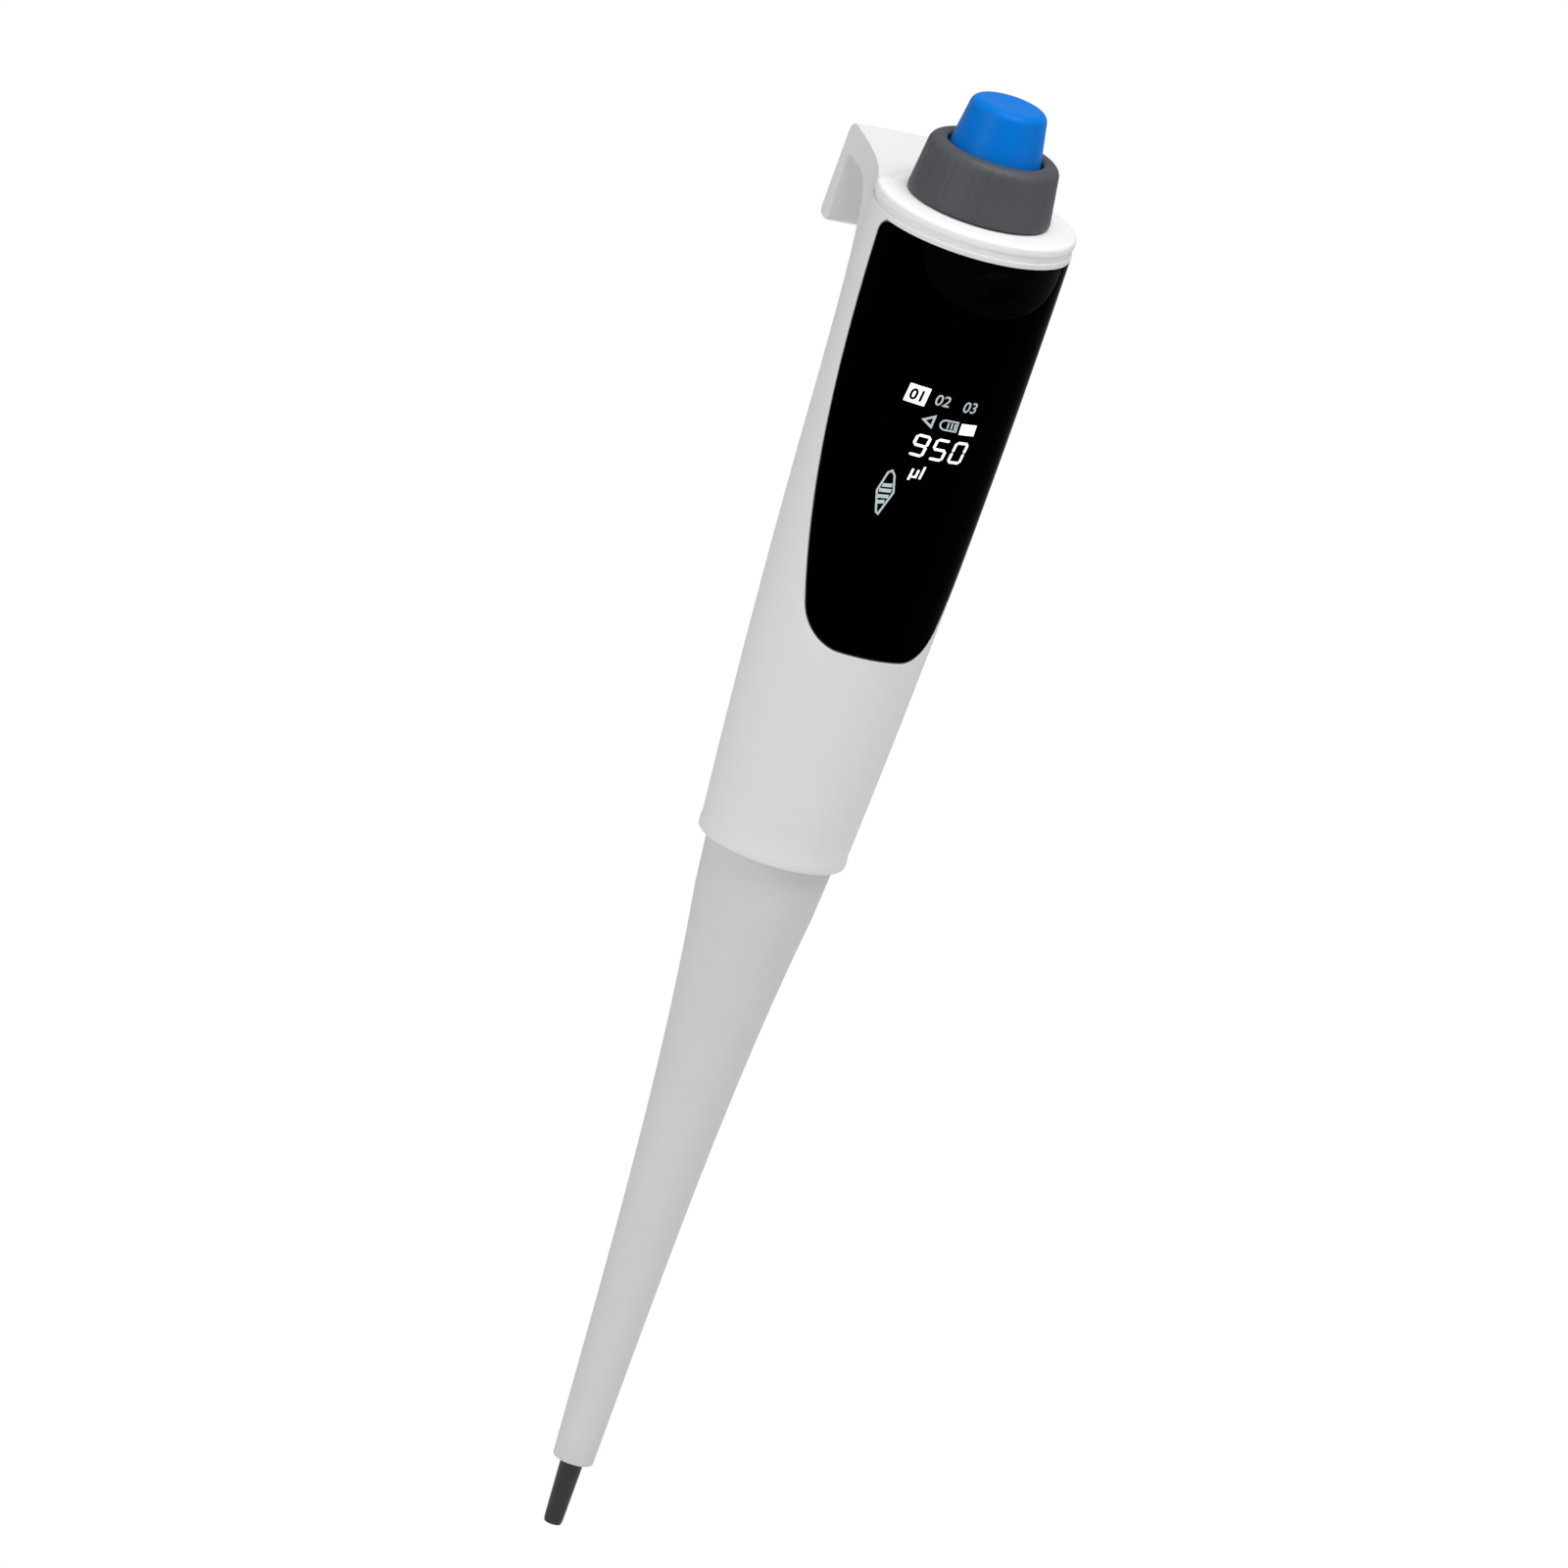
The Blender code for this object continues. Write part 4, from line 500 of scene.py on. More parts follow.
def panel_rows(margin, top):
    """Row heights, close together at the rounded corners."""
    low = PANEL_LOW - margin
    high = PANEL_TOP - PANEL_HIGH_CORNER
    corner = PANEL_LOW_CORNER + margin
    low_angles = [math.radians(angle) for angle in range(0, 91, PANEL_LOW_CORNER_STEP)]
    high_angles = [math.radians(angle) for angle in range(PANEL_HIGH_CORNER_STEP, 91, PANEL_HIGH_CORNER_STEP)]
    rows = [low + corner * (1 - math.cos(angle)) for angle in low_angles]
    rows += heights(low + corner, high, PANEL_ROWS)[1:]
    rows += [high + PANEL_HIGH_CORNER * math.sin(angle) for angle in high_angles]
    if top > PANEL_TOP:
        rows[-1] = PANEL_TOP - RECESS_LAST_ROW
        rows.append(top)
    return rows


def wrapped_block(name, outer, inner, top=PANEL_TOP):
    """A block bent round the handle inside the panel's outline.

    outer and inner each give how far that face stands proud and how far its edge is moved out.
    The block starts as a unit grid with a copy one below it."""
    count = len(panel_rows(0, top)) - 1
    deselect()
    bpy.ops.mesh.primitive_grid_add(x_subdivisions=PANEL_COLUMNS, y_subdivisions=count, size=1)
    piece = bpy.context.object
    piece.name = name
    edit_all()
    bpy.ops.mesh.extrude_region_move(TRANSFORM_OT_translate={"value": (0, 0, -1)})
    object_mode()
    for vert in piece.data.vertices:
        proud, margin = outer if vert.co.z > -0.5 else inner
        height = panel_rows(margin, top)[round((vert.co.y + 0.5) * count)]
        angle = 2 * vert.co.x * panel_half_angle(height, margin)
        radius = handle_radius(height) + proud
        vert.co = Vector((radius * math.sin(angle), -radius * math.cos(angle), height)) * MM
    edit_all()
    face_outwards()
    return piece


# Handle


def handle_body(name, top):
    """The whole outside of the handle, down to its foot, as one turned solid."""
    edge = COVER_EDGE if top > HANDLE_TOP else RIM_EDGE
    foot = HANDLE_FOOT_EDGE
    profile = [(0, top)] + arc(HANDLE_TOP_R - edge, top - edge, edge, 90, 0, 6)
    swell = heights(HANDLE_TOP - RIM_EDGE, HANDLE_WAIST, HANDLE_ROWS)
    profile += [(handle_radius(height), height) for height in swell[1:]]
    profile += [(HANDLE_LIP_R, HANDLE_WAIST - HANDLE_LIP_STEP)]
    profile += arc(HANDLE_LIP_R - foot, HANDLE_LOW + foot, foot, 0, -90, 5)
    profile += [(0, HANDLE_LOW)]
    return turned(name, profile)


def handle_cavity():
    """The room inside the handle, with a thicker wall round the panel's recess."""
    thick_from = PANEL_LOW - 2 * PANEL_LEDGE
    thin_to = thick_from - 3 * PANEL_LEDGE
    cavity_top = COVER_TOP + CAVITY_OVER
    cavity_low = HANDLE_LOW - CAVITY_OVER
    profile = [(0, cavity_top), (HANDLE_TOP_R - PANEL_WALL, cavity_top)]
    profile += [(handle_radius(height) - PANEL_WALL, height) for height in heights(HANDLE_TOP, thick_from, 8)]
    profile += [(handle_radius(height) - HANDLE_WALL, height) for height in heights(thin_to, HANDLE_WAIST, 5)]
    foot_r = HANDLE_WAIST_R - HANDLE_WALL
    profile += [(foot_r, cavity_low), (0, cavity_low)]
    return turned("handle_cavity", profile)


def all_behind(y):
    """A cutter for what lies behind a plane across the handle."""
    low = (-CUT_REACH, y, HANDLE_LOW - CUT_OVER)
    return block("behind", low, (CUT_REACH, 2 * CUT_REACH, COVER_TOP + CUT_OVER))


def all_before(y):
    """A cutter for what lies before a plane across the handle."""
    low = (-CUT_REACH, -2 * CUT_REACH, HANDLE_LOW - CUT_OVER)
    return block("before", low, (CUT_REACH, y, COVER_TOP + CUT_OVER))


def on_the_recess(middle):
    """Whether an edge is one round the panel's recess, on the handle's skin."""
    around = math.hypot(middle.x, middle.y)
    on_skin = abs(around - handle_radius(middle.z)) < SKIN_DEPTH
    beside_panel = PANEL_LOW - BEAD_BELOW < middle.z < PANEL_TOP + BEAD_ABOVE
    return on_skin and beside_panel and middle.y < SEAM_Y - BEAD_TO_SEAM


def make_front_shell():
    """The handle's front, with a soft bead round the panel's recess."""
    shell = handle_body("front_shell_skin", HANDLE_TOP)
    depth = PANEL_THICKNESS + GAP
    opening_top = PANEL_TOP + GAP / 2
    carve(
        shell, "DIFFERENCE",
        wrapped_block("recess", (RECESS_PROUD, GAP), (-depth, GAP), PANEL_TOP + GAP),
        wrapped_block("opening", (RECESS_PROUD, -PANEL_LEDGE), (-2 * PANEL_WALL, -PANEL_LEDGE), opening_top),
        handle_cavity(),
        all_behind(SEAM_Y - SEAM_GAP / 2),
    )
    round_edges(shell, BEAD, on_the_recess)
    set_in_place(shell, "handle", WHITE_ABS, ["front_shell"])


def hook_half_width(y, height):
    """Half the hook's width: it springs from the handle's flank and narrows as it goes back."""
    radius = handle_radius(height)
    if y < SEAM_Y:
        return math.sqrt(radius ** 2 - y ** 2)
    start_x = math.sqrt(radius ** 2 - SEAM_Y ** 2)
    fade = (start_x - HOOK_HALF_WIDTH) * start_x / SEAM_Y
    return HOOK_HALF_WIDTH + (start_x - HOOK_HALF_WIDTH) * math.exp((SEAM_Y - y) / fade)


def hook_plan():
    """The hook's plan view, raised level by level while its sides follow the handle."""
    stations = heights(SEAM_Y - HOOK_ROOT, HOOK_REACH + HOOK_EDGE_R, HOOK_STATIONS)
    levels = heights(LAND_Z - HOOK_SWEEP - HOOK_ROOT, HANDLE_TOP, HOOK_LEVELS) + [COVER_TOP + HOOK_ROOT]
    side = [(hook_half_width(y, levels[0]), y) for y in stations]
    plan = drawn("hook_plan", side + [(-x, y) for x, y in reversed(side)])
    pick(plan)
    edit_all()
    bpy.ops.transform.translate(value=(0, 0, levels[0] * MM))
    for low, high in zip(levels, levels[1:]):
        bpy.ops.mesh.extrude_region_move(TRANSFORM_OT_translate={"value": (0, 0, (high - low) * MM)})
    face_outwards()
    for vert in plan.data.vertices:
        x, y, z = vert.co / MM
        vert.co.x = math.copysign(hook_half_width(y, z), x) * MM
    return plan


def hook_side():
    """The hook's side view: level top, rounded crown, tongue, land, and the sweep to the handle."""
    sweep_y = LAND_END_Y - HOOK_LAND_LENGTH
    tongue_low = COVER_TOP - HOOK_DROP
    crown, foot, inner = HOOK_CROWN_R, HOOK_FOOT_R, HOOK_INNER_R
    side = [(SEAM_Y - HOOK_ROOT, COVER_TOP), (sweep_y, COVER_TOP)]
    side += arc(HOOK_REACH - HOOK_LEAN - crown, COVER_TOP - crown, crown, 90, 15, 8)
    side += arc(HOOK_REACH - foot, tongue_low + foot, foot, 5, -90, 5)
    side += arc(TONGUE_INNER_Y + foot, tongue_low + foot, foot, -90, -180, 4)
    side += arc(LAND_END_Y, LAND_Z - inner, inner, 0, 90, 6)
    for share in heights(0, 1, HOOK_SWEEP_STEPS):
        y = sweep_y + (SEAM_Y - sweep_y) * share
        side.append((y, LAND_Z - HOOK_SWEEP * share ** HOOK_SWEEP_POWER))
    side.append((SEAM_Y - HOOK_ROOT, LAND_Z - HOOK_SWEEP))
    blank = drawn("hook_side", side, "YZ")
    return thicken(blank, (-HOOK_BLANK_HALF_WIDTH, 0, 0), (HOOK_BLANK_HALF_WIDTH, 0, 0))


def rear_holes():
    """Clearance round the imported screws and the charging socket."""
    tools = []
    for index in (1, 2, 3, 4):
        low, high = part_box(f"case_screw_{index}")
        middle = (Vector(low) + Vector(high)) / 2 / MM + Vector((0, LAND_MIDDLE_Y, LAND_Z))
        radius = (high[0] - low[0]) / 2 / MM + GAP
        head_y = high[1] / MM + LAND_MIDDLE_Y - CASE_SCREW_HEAD - GAP
        head_end = head_y + SCREW_HOLE_LENGTH
        shank_start, shank_end = head_y - SCREW_HOLE_LENGTH, head_y + SHANK_HOLE_OVERLAP
        tools.append(round_bar("head_hole", radius, head_y, head_end, middle.x, middle.z))
        tools.append(round_bar("shank_hole", SHANK_HOLE_R, shank_start, shank_end, middle.x, middle.z))
    low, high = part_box("charging_socket")
    move = Vector((0, LAND_MIDDLE_Y, LAND_Z))
    low, high = Vector(low) / MM + move, Vector(high) / MM + move
    outer_corner = (high.x + GAP, SOCKET_HOLE_Y, high.z + GAP)
    tools.append(block("socket_hole", (low.x - GAP, low.y - GAP, low.z - GAP), outer_corner))
    return tools


def make_rear_shell():
    """The handle's back with the finger hook, whose outer edges are rounded behind the seam."""
    hook = hook_side()
    carve(hook, "INTERSECT", hook_plan())
    round_edges(hook, HOOK_EDGE_R, lambda middle: middle.y > SEAM_Y - HOOK_ROOT / 2, 4)
    shell = handle_body("rear_shell_skin", COVER_TOP)
    carve(shell, "UNION", hook)
    carve(shell, "DIFFERENCE", handle_cavity(), all_before(SEAM_Y + SEAM_GAP / 2), *rear_holes())
    set_in_place(shell, "handle", WHITE_ABS, ["rear_shell"])


# Panel and trigger


def trigger_outline(margin):
    """Half an ellipse that hangs from the panel's top edge."""
    half_width = TRIGGER_HALF_WIDTH + margin
    depth = TRIGGER_DEPTH + margin
    points = []
    for angle in heights(0, math.pi, TRIGGER_STEPS):
        drop = depth * abs(math.sin(angle)) ** TRIGGER_ROUNDNESS
        points.append((-half_width * math.cos(angle), PANEL_TOP - drop))
    return points + [(half_width, PANEL_TOP + TRIGGER_OVER), (-half_width, PANEL_TOP + TRIGGER_OVER)]


def trigger_block(name, margin):
    """The trigger's outline as a solid, from in front of the handle back to its axis."""
    return thicken(drawn(name, trigger_outline(margin), "XZ"), (0, -CUT_REACH, 0), (0, 0, 0))


def on_the_skin(middle):
    return math.hypot(middle.x, middle.y) > handle_radius(middle.z) - SKIN_DEPTH


def make_front_panel():
    """The glossy panel, cut out for the trigger, its edge just broken."""
    panel = wrapped_block("front_panel_skin", (0, 0), (-PANEL_THICKNESS, 0))
    carve(panel, "DIFFERENCE", trigger_block("trigger_notch", GAP))
    round_edges(panel, PANEL_EDGE, on_the_skin, 2)
    set_in_place(panel, "handle", PANEL_PMMA, ["front_panel"])


def trigger_dish():
    """A round-ended cutter that hollows the trigger for a fingertip."""
    middle = PANEL_TOP - TRIGGER_DEPTH * TRIGGER_DISH_DROP
    dish_y = -(handle_radius(middle) - TRIGGER_DISH) - TRIGGER_DISH_REACH
    deselect()
    bpy.ops.mesh.primitive_uv_sphere_add(
        segments=TRIGGER_DISH_SEGMENTS, ring_count=TRIGGER_DISH_RINGS, radius=MM,
        location=(0, dish_y * MM, middle * MM),
    )
    dish = bpy.context.object
    dish.scale = (
        TRIGGER_HALF_WIDTH * TRIGGER_DISH_WIDE, TRIGGER_DISH_REACH, TRIGGER_DEPTH * TRIGGER_DISH_TALL
    )
    bpy.ops.object.transform_apply(location=True, rotation=True, scale=True)
    return dish


def make_trigger():
    """The trigger, hollowed for a fingertip, with the post that works its switch."""
    trigger = trigger_block("trigger_skin", 0)
    carve(trigger, "INTERSECT", wrapped_block("trigger_wall", (0, -GAP), (-TRIGGER_THICKNESS, -GAP)))
    carve(trigger, "DIFFERENCE", trigger_dish())
    round_edges(trigger, PANEL_EDGE, on_the_skin, 2)
    switch_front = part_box("trigger_switch")[0][1] / MM + LAND_MIDDLE_Y
    post_front = -handle_radius(POST_Z) + TRIGGER_THICKNESS - POST_SINK
    post_back = switch_front - GAP - TRIGGER_TRAVEL
    post = block(
        "trigger_post",
        (-POST_HALF_WIDTH, post_front, POST_Z - POST_HALF_HEIGHT),
        (POST_HALF_WIDTH, post_back, POST_Z + POST_HALF_HEIGHT),
    )
    carve(trigger, "UNION", post)
    set_in_place(trigger, "trigger_piece", TRIGGER_ABS, ["trigger"])


# Display


def stroke(name, left, low, right, high):
    """A plain bar of the display's picture."""
    return drawn(name, [(left, low), (right, low), (right, high), (left, high)])


def ringed(name, points, width):
    """An outline of the display's picture, as wide as asked."""
    piece = drawn(name, points)
    pick(piece)
    edit_all()
    bpy.ops.mesh.inset(thickness=width * MM, depth=0)
    bpy.ops.mesh.delete(type="FACE")
    object_mode()
    return piece


def figures(name, words, left, low, size, lean, weight):
    """Plain figures in Blender's own font."""
    deselect()
    bpy.ops.object.text_add()
    piece = bpy.context.object
    piece.name = name
    piece.data.body = words
    piece.data.size = size * MM
    piece.data.shear = lean
    piece.data.offset = weight * MM
    bpy.ops.object.convert(target="MESH")
    piece = bpy.context.object
    piece.location = Vector((left, low, 0)) * MM
    bpy.ops.object.transform_apply(location=True, rotation=True, scale=True)
    return piece


def digit_bars(figure, left, low):
    """One seven-segment figure: pointed bars between the corners of a leaning frame."""
    corners = [(side, level) for level in (0, 1, 2) for side in (0, 1)]
    bars = {"d": (0, 1), "g": (2, 3), "a": (4, 5), "e": (0, 2), "c": (1, 3), "f": (2, 4), "b": (3, 5)}
    half = DIGIT_STROKE / 2
    pieces = []
    for bar in LIT_BARS[figure]:
        start, end = (Vector(corners[index]) for index in bars[bar])
        start = Vector((start.x * DIGIT_WIDTH, start.y * DIGIT_HEIGHT / 2))
        end = Vector((end.x * DIGIT_WIDTH, end.y * DIGIT_HEIGHT / 2))
        along = (end - start).normalized()
        across = Vector((-along.y, along.x)) * half
        start, end = start + along * DIGIT_SPLIT, end - along * DIGIT_SPLIT
        points = [start, start + along * half - across, end - along * half - across, end]
        points += [end - along * half + across, start + along * half + across]
        spots = [(left + point.x + DIGIT_LEAN * point.y, low + point.y) for point in points]
        pieces.append(drawn("digit_bar", spots))
    return pieces


def flatten(piece):
    """Keeps only the cut face of a thin plate at height nought."""
    pick(piece)
    edit_all()
    bpy.ops.mesh.bisect(
        plane_co=(0, 0, 0), plane_no=(0, 0, 1), use_fill=True, clear_inner=True, clear_outer=True
    )
    object_mode()


def wrap_on_panel(name, pieces, finish):
    """Joins flat pictures, drawn as arc length and height, and bends them round the panel's skin."""
    pick(pieces[0])
    for piece in pieces:
        piece.select_set(True)
    if len(pieces) > 1:
        bpy.ops.object.join()
    mark = bpy.context.object
    mark.name = name
    edit_all()
    bpy.ops.mesh.remove_doubles(threshold=WELD * MM)
    for column in range(-MARK_COLUMNS, MARK_COLUMNS + 1):
        bpy.ops.mesh.select_all(action="SELECT")
        bpy.ops.mesh.bisect(plane_co=(column * MARK_STEP * MM, 0, 0), plane_no=(1, 0, 0))
    bpy.ops.mesh.select_all(action="SELECT")
    bpy.ops.mesh.extrude_region_move(TRANSFORM_OT_translate={"value": (0, 0, MARK_DEPTH * MM)})
    object_mode()
    for vert in mark.data.vertices:
        x, y, z = vert.co / MM
        radius = handle_radius(y) + MARK_PROUD - MARK_DEPTH + z
        angle = x / handle_radius(y)
        vert.co = Vector((radius * math.sin(angle), -radius * math.cos(angle), y)) * MM
    edit_all()
    face_outwards()
    set_in_place(mark, "handle", finish)


def make_display_marks():
    """What the display shows: a generic reading with plain signs round it."""
    bright = []
    for index, figure in enumerate(READING):
        bright += digit_bars(figure, READING_LEFT + index * DIGIT_PITCH, READING_LOW)
    wrap_on_panel("display_reading", bright, LIT)
    wrap_on_panel("display_unit", [figures("unit", *UNIT)], LIT)

    plate = drawn("first_tab", FIRST_TAB)
    hole = figures("first_tab_figure", *FIRST_FIGURE)
    thicken(hole, (0, 0, -FIRST_FIGURE_HALF_THICK), (0, 0, FIRST_FIGURE_HALF_THICK))
    thicken(plate, (0, 0, -FIRST_TAB_HALF_THICK), (0, 0, FIRST_TAB_HALF_THICK))
    carve(plate, "DIFFERENCE", hole)
    flatten(plate)
    wrap_on_panel("display_first_tab", [plate, stroke("battery_block", *BATTERY_BLOCK)], LIT)

    dim = [figures("second_tab", *SECOND_FIGURE), figures("third_tab", *THIRD_FIGURE)]
    dim.append(ringed("speaker", SPEAKER, SPEAKER_LINE))
    dim.append(ringed("battery_shell", arc(*BATTERY_ROUND, 90, 270, 8) + BATTERY_SQUARE, BATTERY_LINE))
    for left in BATTERY_BAR_LEFTS:
        right = left + BATTERY_BAR_WIDTH
        dim.append(stroke("battery_bar", left, BATTERY_BAR_LOW, right, BATTERY_BAR_HIGH))
    dim.append(ringed("level", LEVEL_LEFT + LEVEL_RIGHT, LEVEL_LINE))
    for low, left, right in LEVEL_BARS:
        right_low = low + LEVEL_BAR_RISE
        corners = [(left, low), (right, right_low), (right, right_low + LEVEL_BAR_HEIGHT)]
        dim.append(drawn("level_bar", corners + [(left, low + LEVEL_BAR_HEIGHT)]))
    wrap_on_panel("display_signs", dim, LIT_DIM)


# Head


def make_top_cover():
    """The white cover: a lip over a band set back, let into the rear shell behind the seam."""
    edge = COVER_EDGE
    lip_low = COVER_TOP - COVER_LIP
    low = HANDLE_TOP + SEAM_GAP
    step_r = HANDLE_TOP_R - COVER_STEP
    plate_low = COVER_TOP - COVER_PLATE
    skirt_in = COVER_SKIRT_R - COVER_SKIRT_WALL
    skirt_low = HANDLE_TOP - COVER_SKIRT_DROP
    hole = KNOB_HUB_R + GAP
    profile = arc(HANDLE_TOP_R - edge, COVER_TOP - edge, edge, 90, 0, 8)
    profile += arc(HANDLE_TOP_R - LIP_ROUND, lip_low + LIP_ROUND, LIP_ROUND, 0, -90, 3)
    profile += [(step_r, lip_low), (step_r, low), (COVER_SKIRT_R, low), (COVER_SKIRT_R, skirt_low)]
    profile += [(skirt_in, skirt_low), (skirt_in, plate_low), (hole, plate_low), (hole, COVER_TOP)]
    cover = turned("top_cover_skin", profile, closed=True)
    inset = HANDLE_TOP_R - PANEL_WALL - SEAM_GAP
    ring_top, ring_low = COVER_TOP + COVER_RING_OVER, low - COVER_RING_OVER
    corners = [(CUT_REACH, ring_top), (CUT_REACH, ring_low), (inset, ring_low), (inset, ring_top)]
    ring = turned("cover_back_ring", corners, closed=True)
    carve(ring, "DIFFERENCE", all_before(SEAM_Y - SEAM_GAP / 2))
    carve(cover, "DIFFERENCE", ring)
    # The cover's finish is the handle's white painted lighter, a painted highlight for its top
    set_in_place(cover, "handle", PAINTED_BRIGHT_COVER_ABS, ["top_cover"])


def make_setting_ring():
    """The tapered knob with its faint flutes, and the hub that goes down through the cover."""
    hub_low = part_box("setting_ring")[0][2] / MM + LAND_Z
    hub_in = KNOB_HUB_R - KNOB_HUB_WALL
    well = BUTTON_LOW_R + RUNNING_GAP
    shoulder = KNOB_SHOULDER
    foot = KNOB_FOOT_EDGE
    profile = [(well + KNOB_MOUTH_EDGE, KNOB_TOP)]
    profile += arc(KNOB_HIGH_R - shoulder, KNOB_TOP - shoulder, shoulder, 90, 8, 10)
    top_r, side_top = profile[-1]
    for share in KNOB_SIDE_SHARES:
        radius = top_r + (KNOB_LOW_R - top_r) * share
        profile.append((radius, side_top + (KNOB_LOW + foot - side_top) * share))
    profile += arc(KNOB_LOW_R - foot, KNOB_LOW + foot, foot, 0, -90, 4)
    profile += [(KNOB_HUB_R, KNOB_LOW), (KNOB_HUB_R, hub_low), (hub_in, hub_low)]
    profile += [(hub_in, KNOB_FLOOR), (well, KNOB_FLOOR), (well, KNOB_TOP - KNOB_MOUTH_EDGE)]
    knob = turned("setting_ring_skin", profile, KNOB_FLUTES * KNOB_FLUTE_COLUMNS, closed=True)
    for vert in knob.data.vertices:
        x, y, z = vert.co / MM
        around = math.hypot(x, y)
        on_wall = around > KNOB_HIGH_R - KNOB_FLUTE_INWARDS
        if on_wall and KNOB_LOW + foot < z < side_top + KNOB_FLUTE_UPWARDS:
            crest = 0.5 + 0.5 * math.cos(KNOB_FLUTES * math.atan2(y, x))
            shrink = 1 - KNOB_FLUTE_DEPTH * crest ** KNOB_FLUTE_SHARPNESS / around
            vert.co.x *= shrink
            vert.co.y *= shrink
    set_in_place(knob, "knob", KNOB_ABS, ["setting_ring"])


def make_eject_button():
    """The blue push button, hollow inside, with a shallow dish in its top."""
    edge = BUTTON_EDGE
    low = KNOB_FLOOR + RUNNING_GAP + BUTTON_TRAVEL
    ceiling = BUTTON_TOP - BUTTON_PLATE
    flat = BUTTON_HIGH_R - 2 * edge
    profile = [(0, BUTTON_TOP - BUTTON_DISH), (flat / 2, BUTTON_TOP - BUTTON_DISH * BUTTON_DISH_SHARE)]
    profile += [(flat, BUTTON_TOP - BUTTON_DISH / 2)]
    profile += arc(BUTTON_HIGH_R - edge, BUTTON_TOP - edge, edge, 90, 10, 9)
    profile += [(BUTTON_LOW_R, low), (BUTTON_LOW_R - BUTTON_WALL, low)]
    profile += [(BUTTON_HIGH_R - BUTTON_WALL, ceiling), (0, ceiling)]
    button = turned("eject_button_skin", profile)
    set_in_place(button, "ejector", BUTTON_ABS, ["eject_button"])


def make_ejector_spring():
    """The return spring, coiled to the size of the imported one."""
    low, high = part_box("ejector_spring")
    wire = SPRING_WIRE_R * MM
    deselect()
    bpy.ops.mesh.primitive_circle_add(
        vertices=SPRING_WIRE_SIDES, radius=wire, rotation=(math.pi / 2, 0, 0),
        location=((high.x - low.x) / 2 - wire, 0, low.z + LAND_Z * MM + wire),
    )
    spring = bpy.context.object
    spring.name = "ejector_spring_skin"
    bpy.ops.object.transform_apply(location=True, rotation=True, scale=True)
    steps = SPRING_TURNS * SPRING_TURN_STEPS
    apply_modifier(
        spring, "SCREW", angle=math.tau * SPRING_TURNS, screw_offset=high.z - low.z - 2 * wire,
        steps=steps, render_steps=steps,
    )
    edit_all()
    bpy.ops.mesh.fill_holes(sides=0)
    face_outwards()
    set_in_place(spring, ("handle", "ejector"), STEEL, ["ejector_spring"])


# Lower end


def make_ejector_sleeve():
    """The long trumpet, its lower rim rounded."""
    top = HANDLE_LOW + SLEEVE_INSIDE
    edge = SLEEVE_EDGE
    flare = heights(SLEEVE_LOW + SLEEVE_FLARE_LENGTH, SLEEVE_LOW + SLEEVE_RIM, SLEEVE_ROWS)
    outer = [(sleeve_radius(height), height) for height in [top, HANDLE_LOW] + flare]
    outer += arc(SLEEVE_LOW_R - edge, SLEEVE_LOW + edge, edge, 0, -90, 5)
    upwards = [SLEEVE_LOW] + flare[::-SLEEVE_INNER_EVERY] + [HANDLE_LOW, top]
    inner = [(sleeve_radius(height) - SLEEVE_WALL, height) for height in upwards]
    sleeve = turned("ejector_sleeve_skin", outer + inner, closed=True)
    set_in_place(sleeve, "ejector", SLEEVE_PP, ["ejector_sleeve"])


def make_tip_cone():
    """The nozzle that takes the tip, with its long tube up to the cylinder."""
    neck_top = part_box("cylinder")[0][2] / MM + LAND_Z - GAP
    spigot_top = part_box("tip_cone")[1][2] / MM + LAND_Z
    edge = NOZZLE_EDGE
    profile = [(SPIGOT_R, spigot_top), (SPIGOT_R, neck_top), (NECK_R, neck_top)]
    profile += [(NECK_R - NECK_CHAMFER, neck_top - NECK_CHAMFER_LENGTH), (TUBE_R, TUBE_LENGTH)]
    profile += [(TUBE_R, SLEEVE_LOW + TUBE_FOOT), (NOZZLE_ROOT_R, SLEEVE_LOW - NOZZLE_ROOT_DROP)]
    profile += [(NOZZLE_END_R + NOZZLE_LIP_SPREAD, NOZZLE_LIP_HEIGHT)]
    profile += arc(NOZZLE_END_R - edge, edge, edge, 0, -90, 4)
    profile += [(NOZZLE_BORE_R, 0), (TUBE_BORE_R, NOZZLE_BORE_LENGTH), (TUBE_BORE_R, spigot_top)]
    cone = turned("tip_cone_skin", profile, NOZZLE_STEPS, closed=True)
    set_in_place(cone, "handle", NOZZLE_PVDF, ["tip_cone"])


# Materials

# Moulded plastic: its mottling, the spread of its sheen and its grain's height
PLASTIC_IOR = 1.53
MOTTLE_MM = 9.0
SHEEN_BELOW = 0.04
SHEEN_ABOVE = 0.05
GRAIN_HEIGHT = 0.012
GRAIN_RELIEF = 0.35
# Polished plastic: a ripple from the mould and the haze left by wiping
ACRYLIC_IOR = 1.49
RIPPLE_MM = 14.0
RIPPLE_HEIGHT = 0.01
RIPPLE_RELIEF = 0.1
WIPE_HAZE = 0.05
# Turned metal: the tool leaves a line every 0.08 mm, drawn four times as coarse so that it shows
TOOL_LINE_MM = 0.08
TOOL_LINE_DRAWN = 4
RING_SQUEEZE = 0.02
METAL_SHEEN_BELOW = 0.06
METAL_SHEEN_ABOVE = 0.1
SEGMENT_ROUGHNESS = 0.4


def linear(hex_colour):
    """An sRGB hex colour as the linear values a shader takes."""
    parts = [int(hex_colour[index:index + 2], 16) / 255 for index in (1, 3, 5)]
    curve = [part / 12.92 if part <= 0.04045 else ((part + 0.055) / 1.055) ** 2.4 for part in parts]
    return (*curve, 1.0)


def per(size_mm):
    """The scale at which a noise repeats about once in size_mm."""
    return 1 / (size_mm * MM)


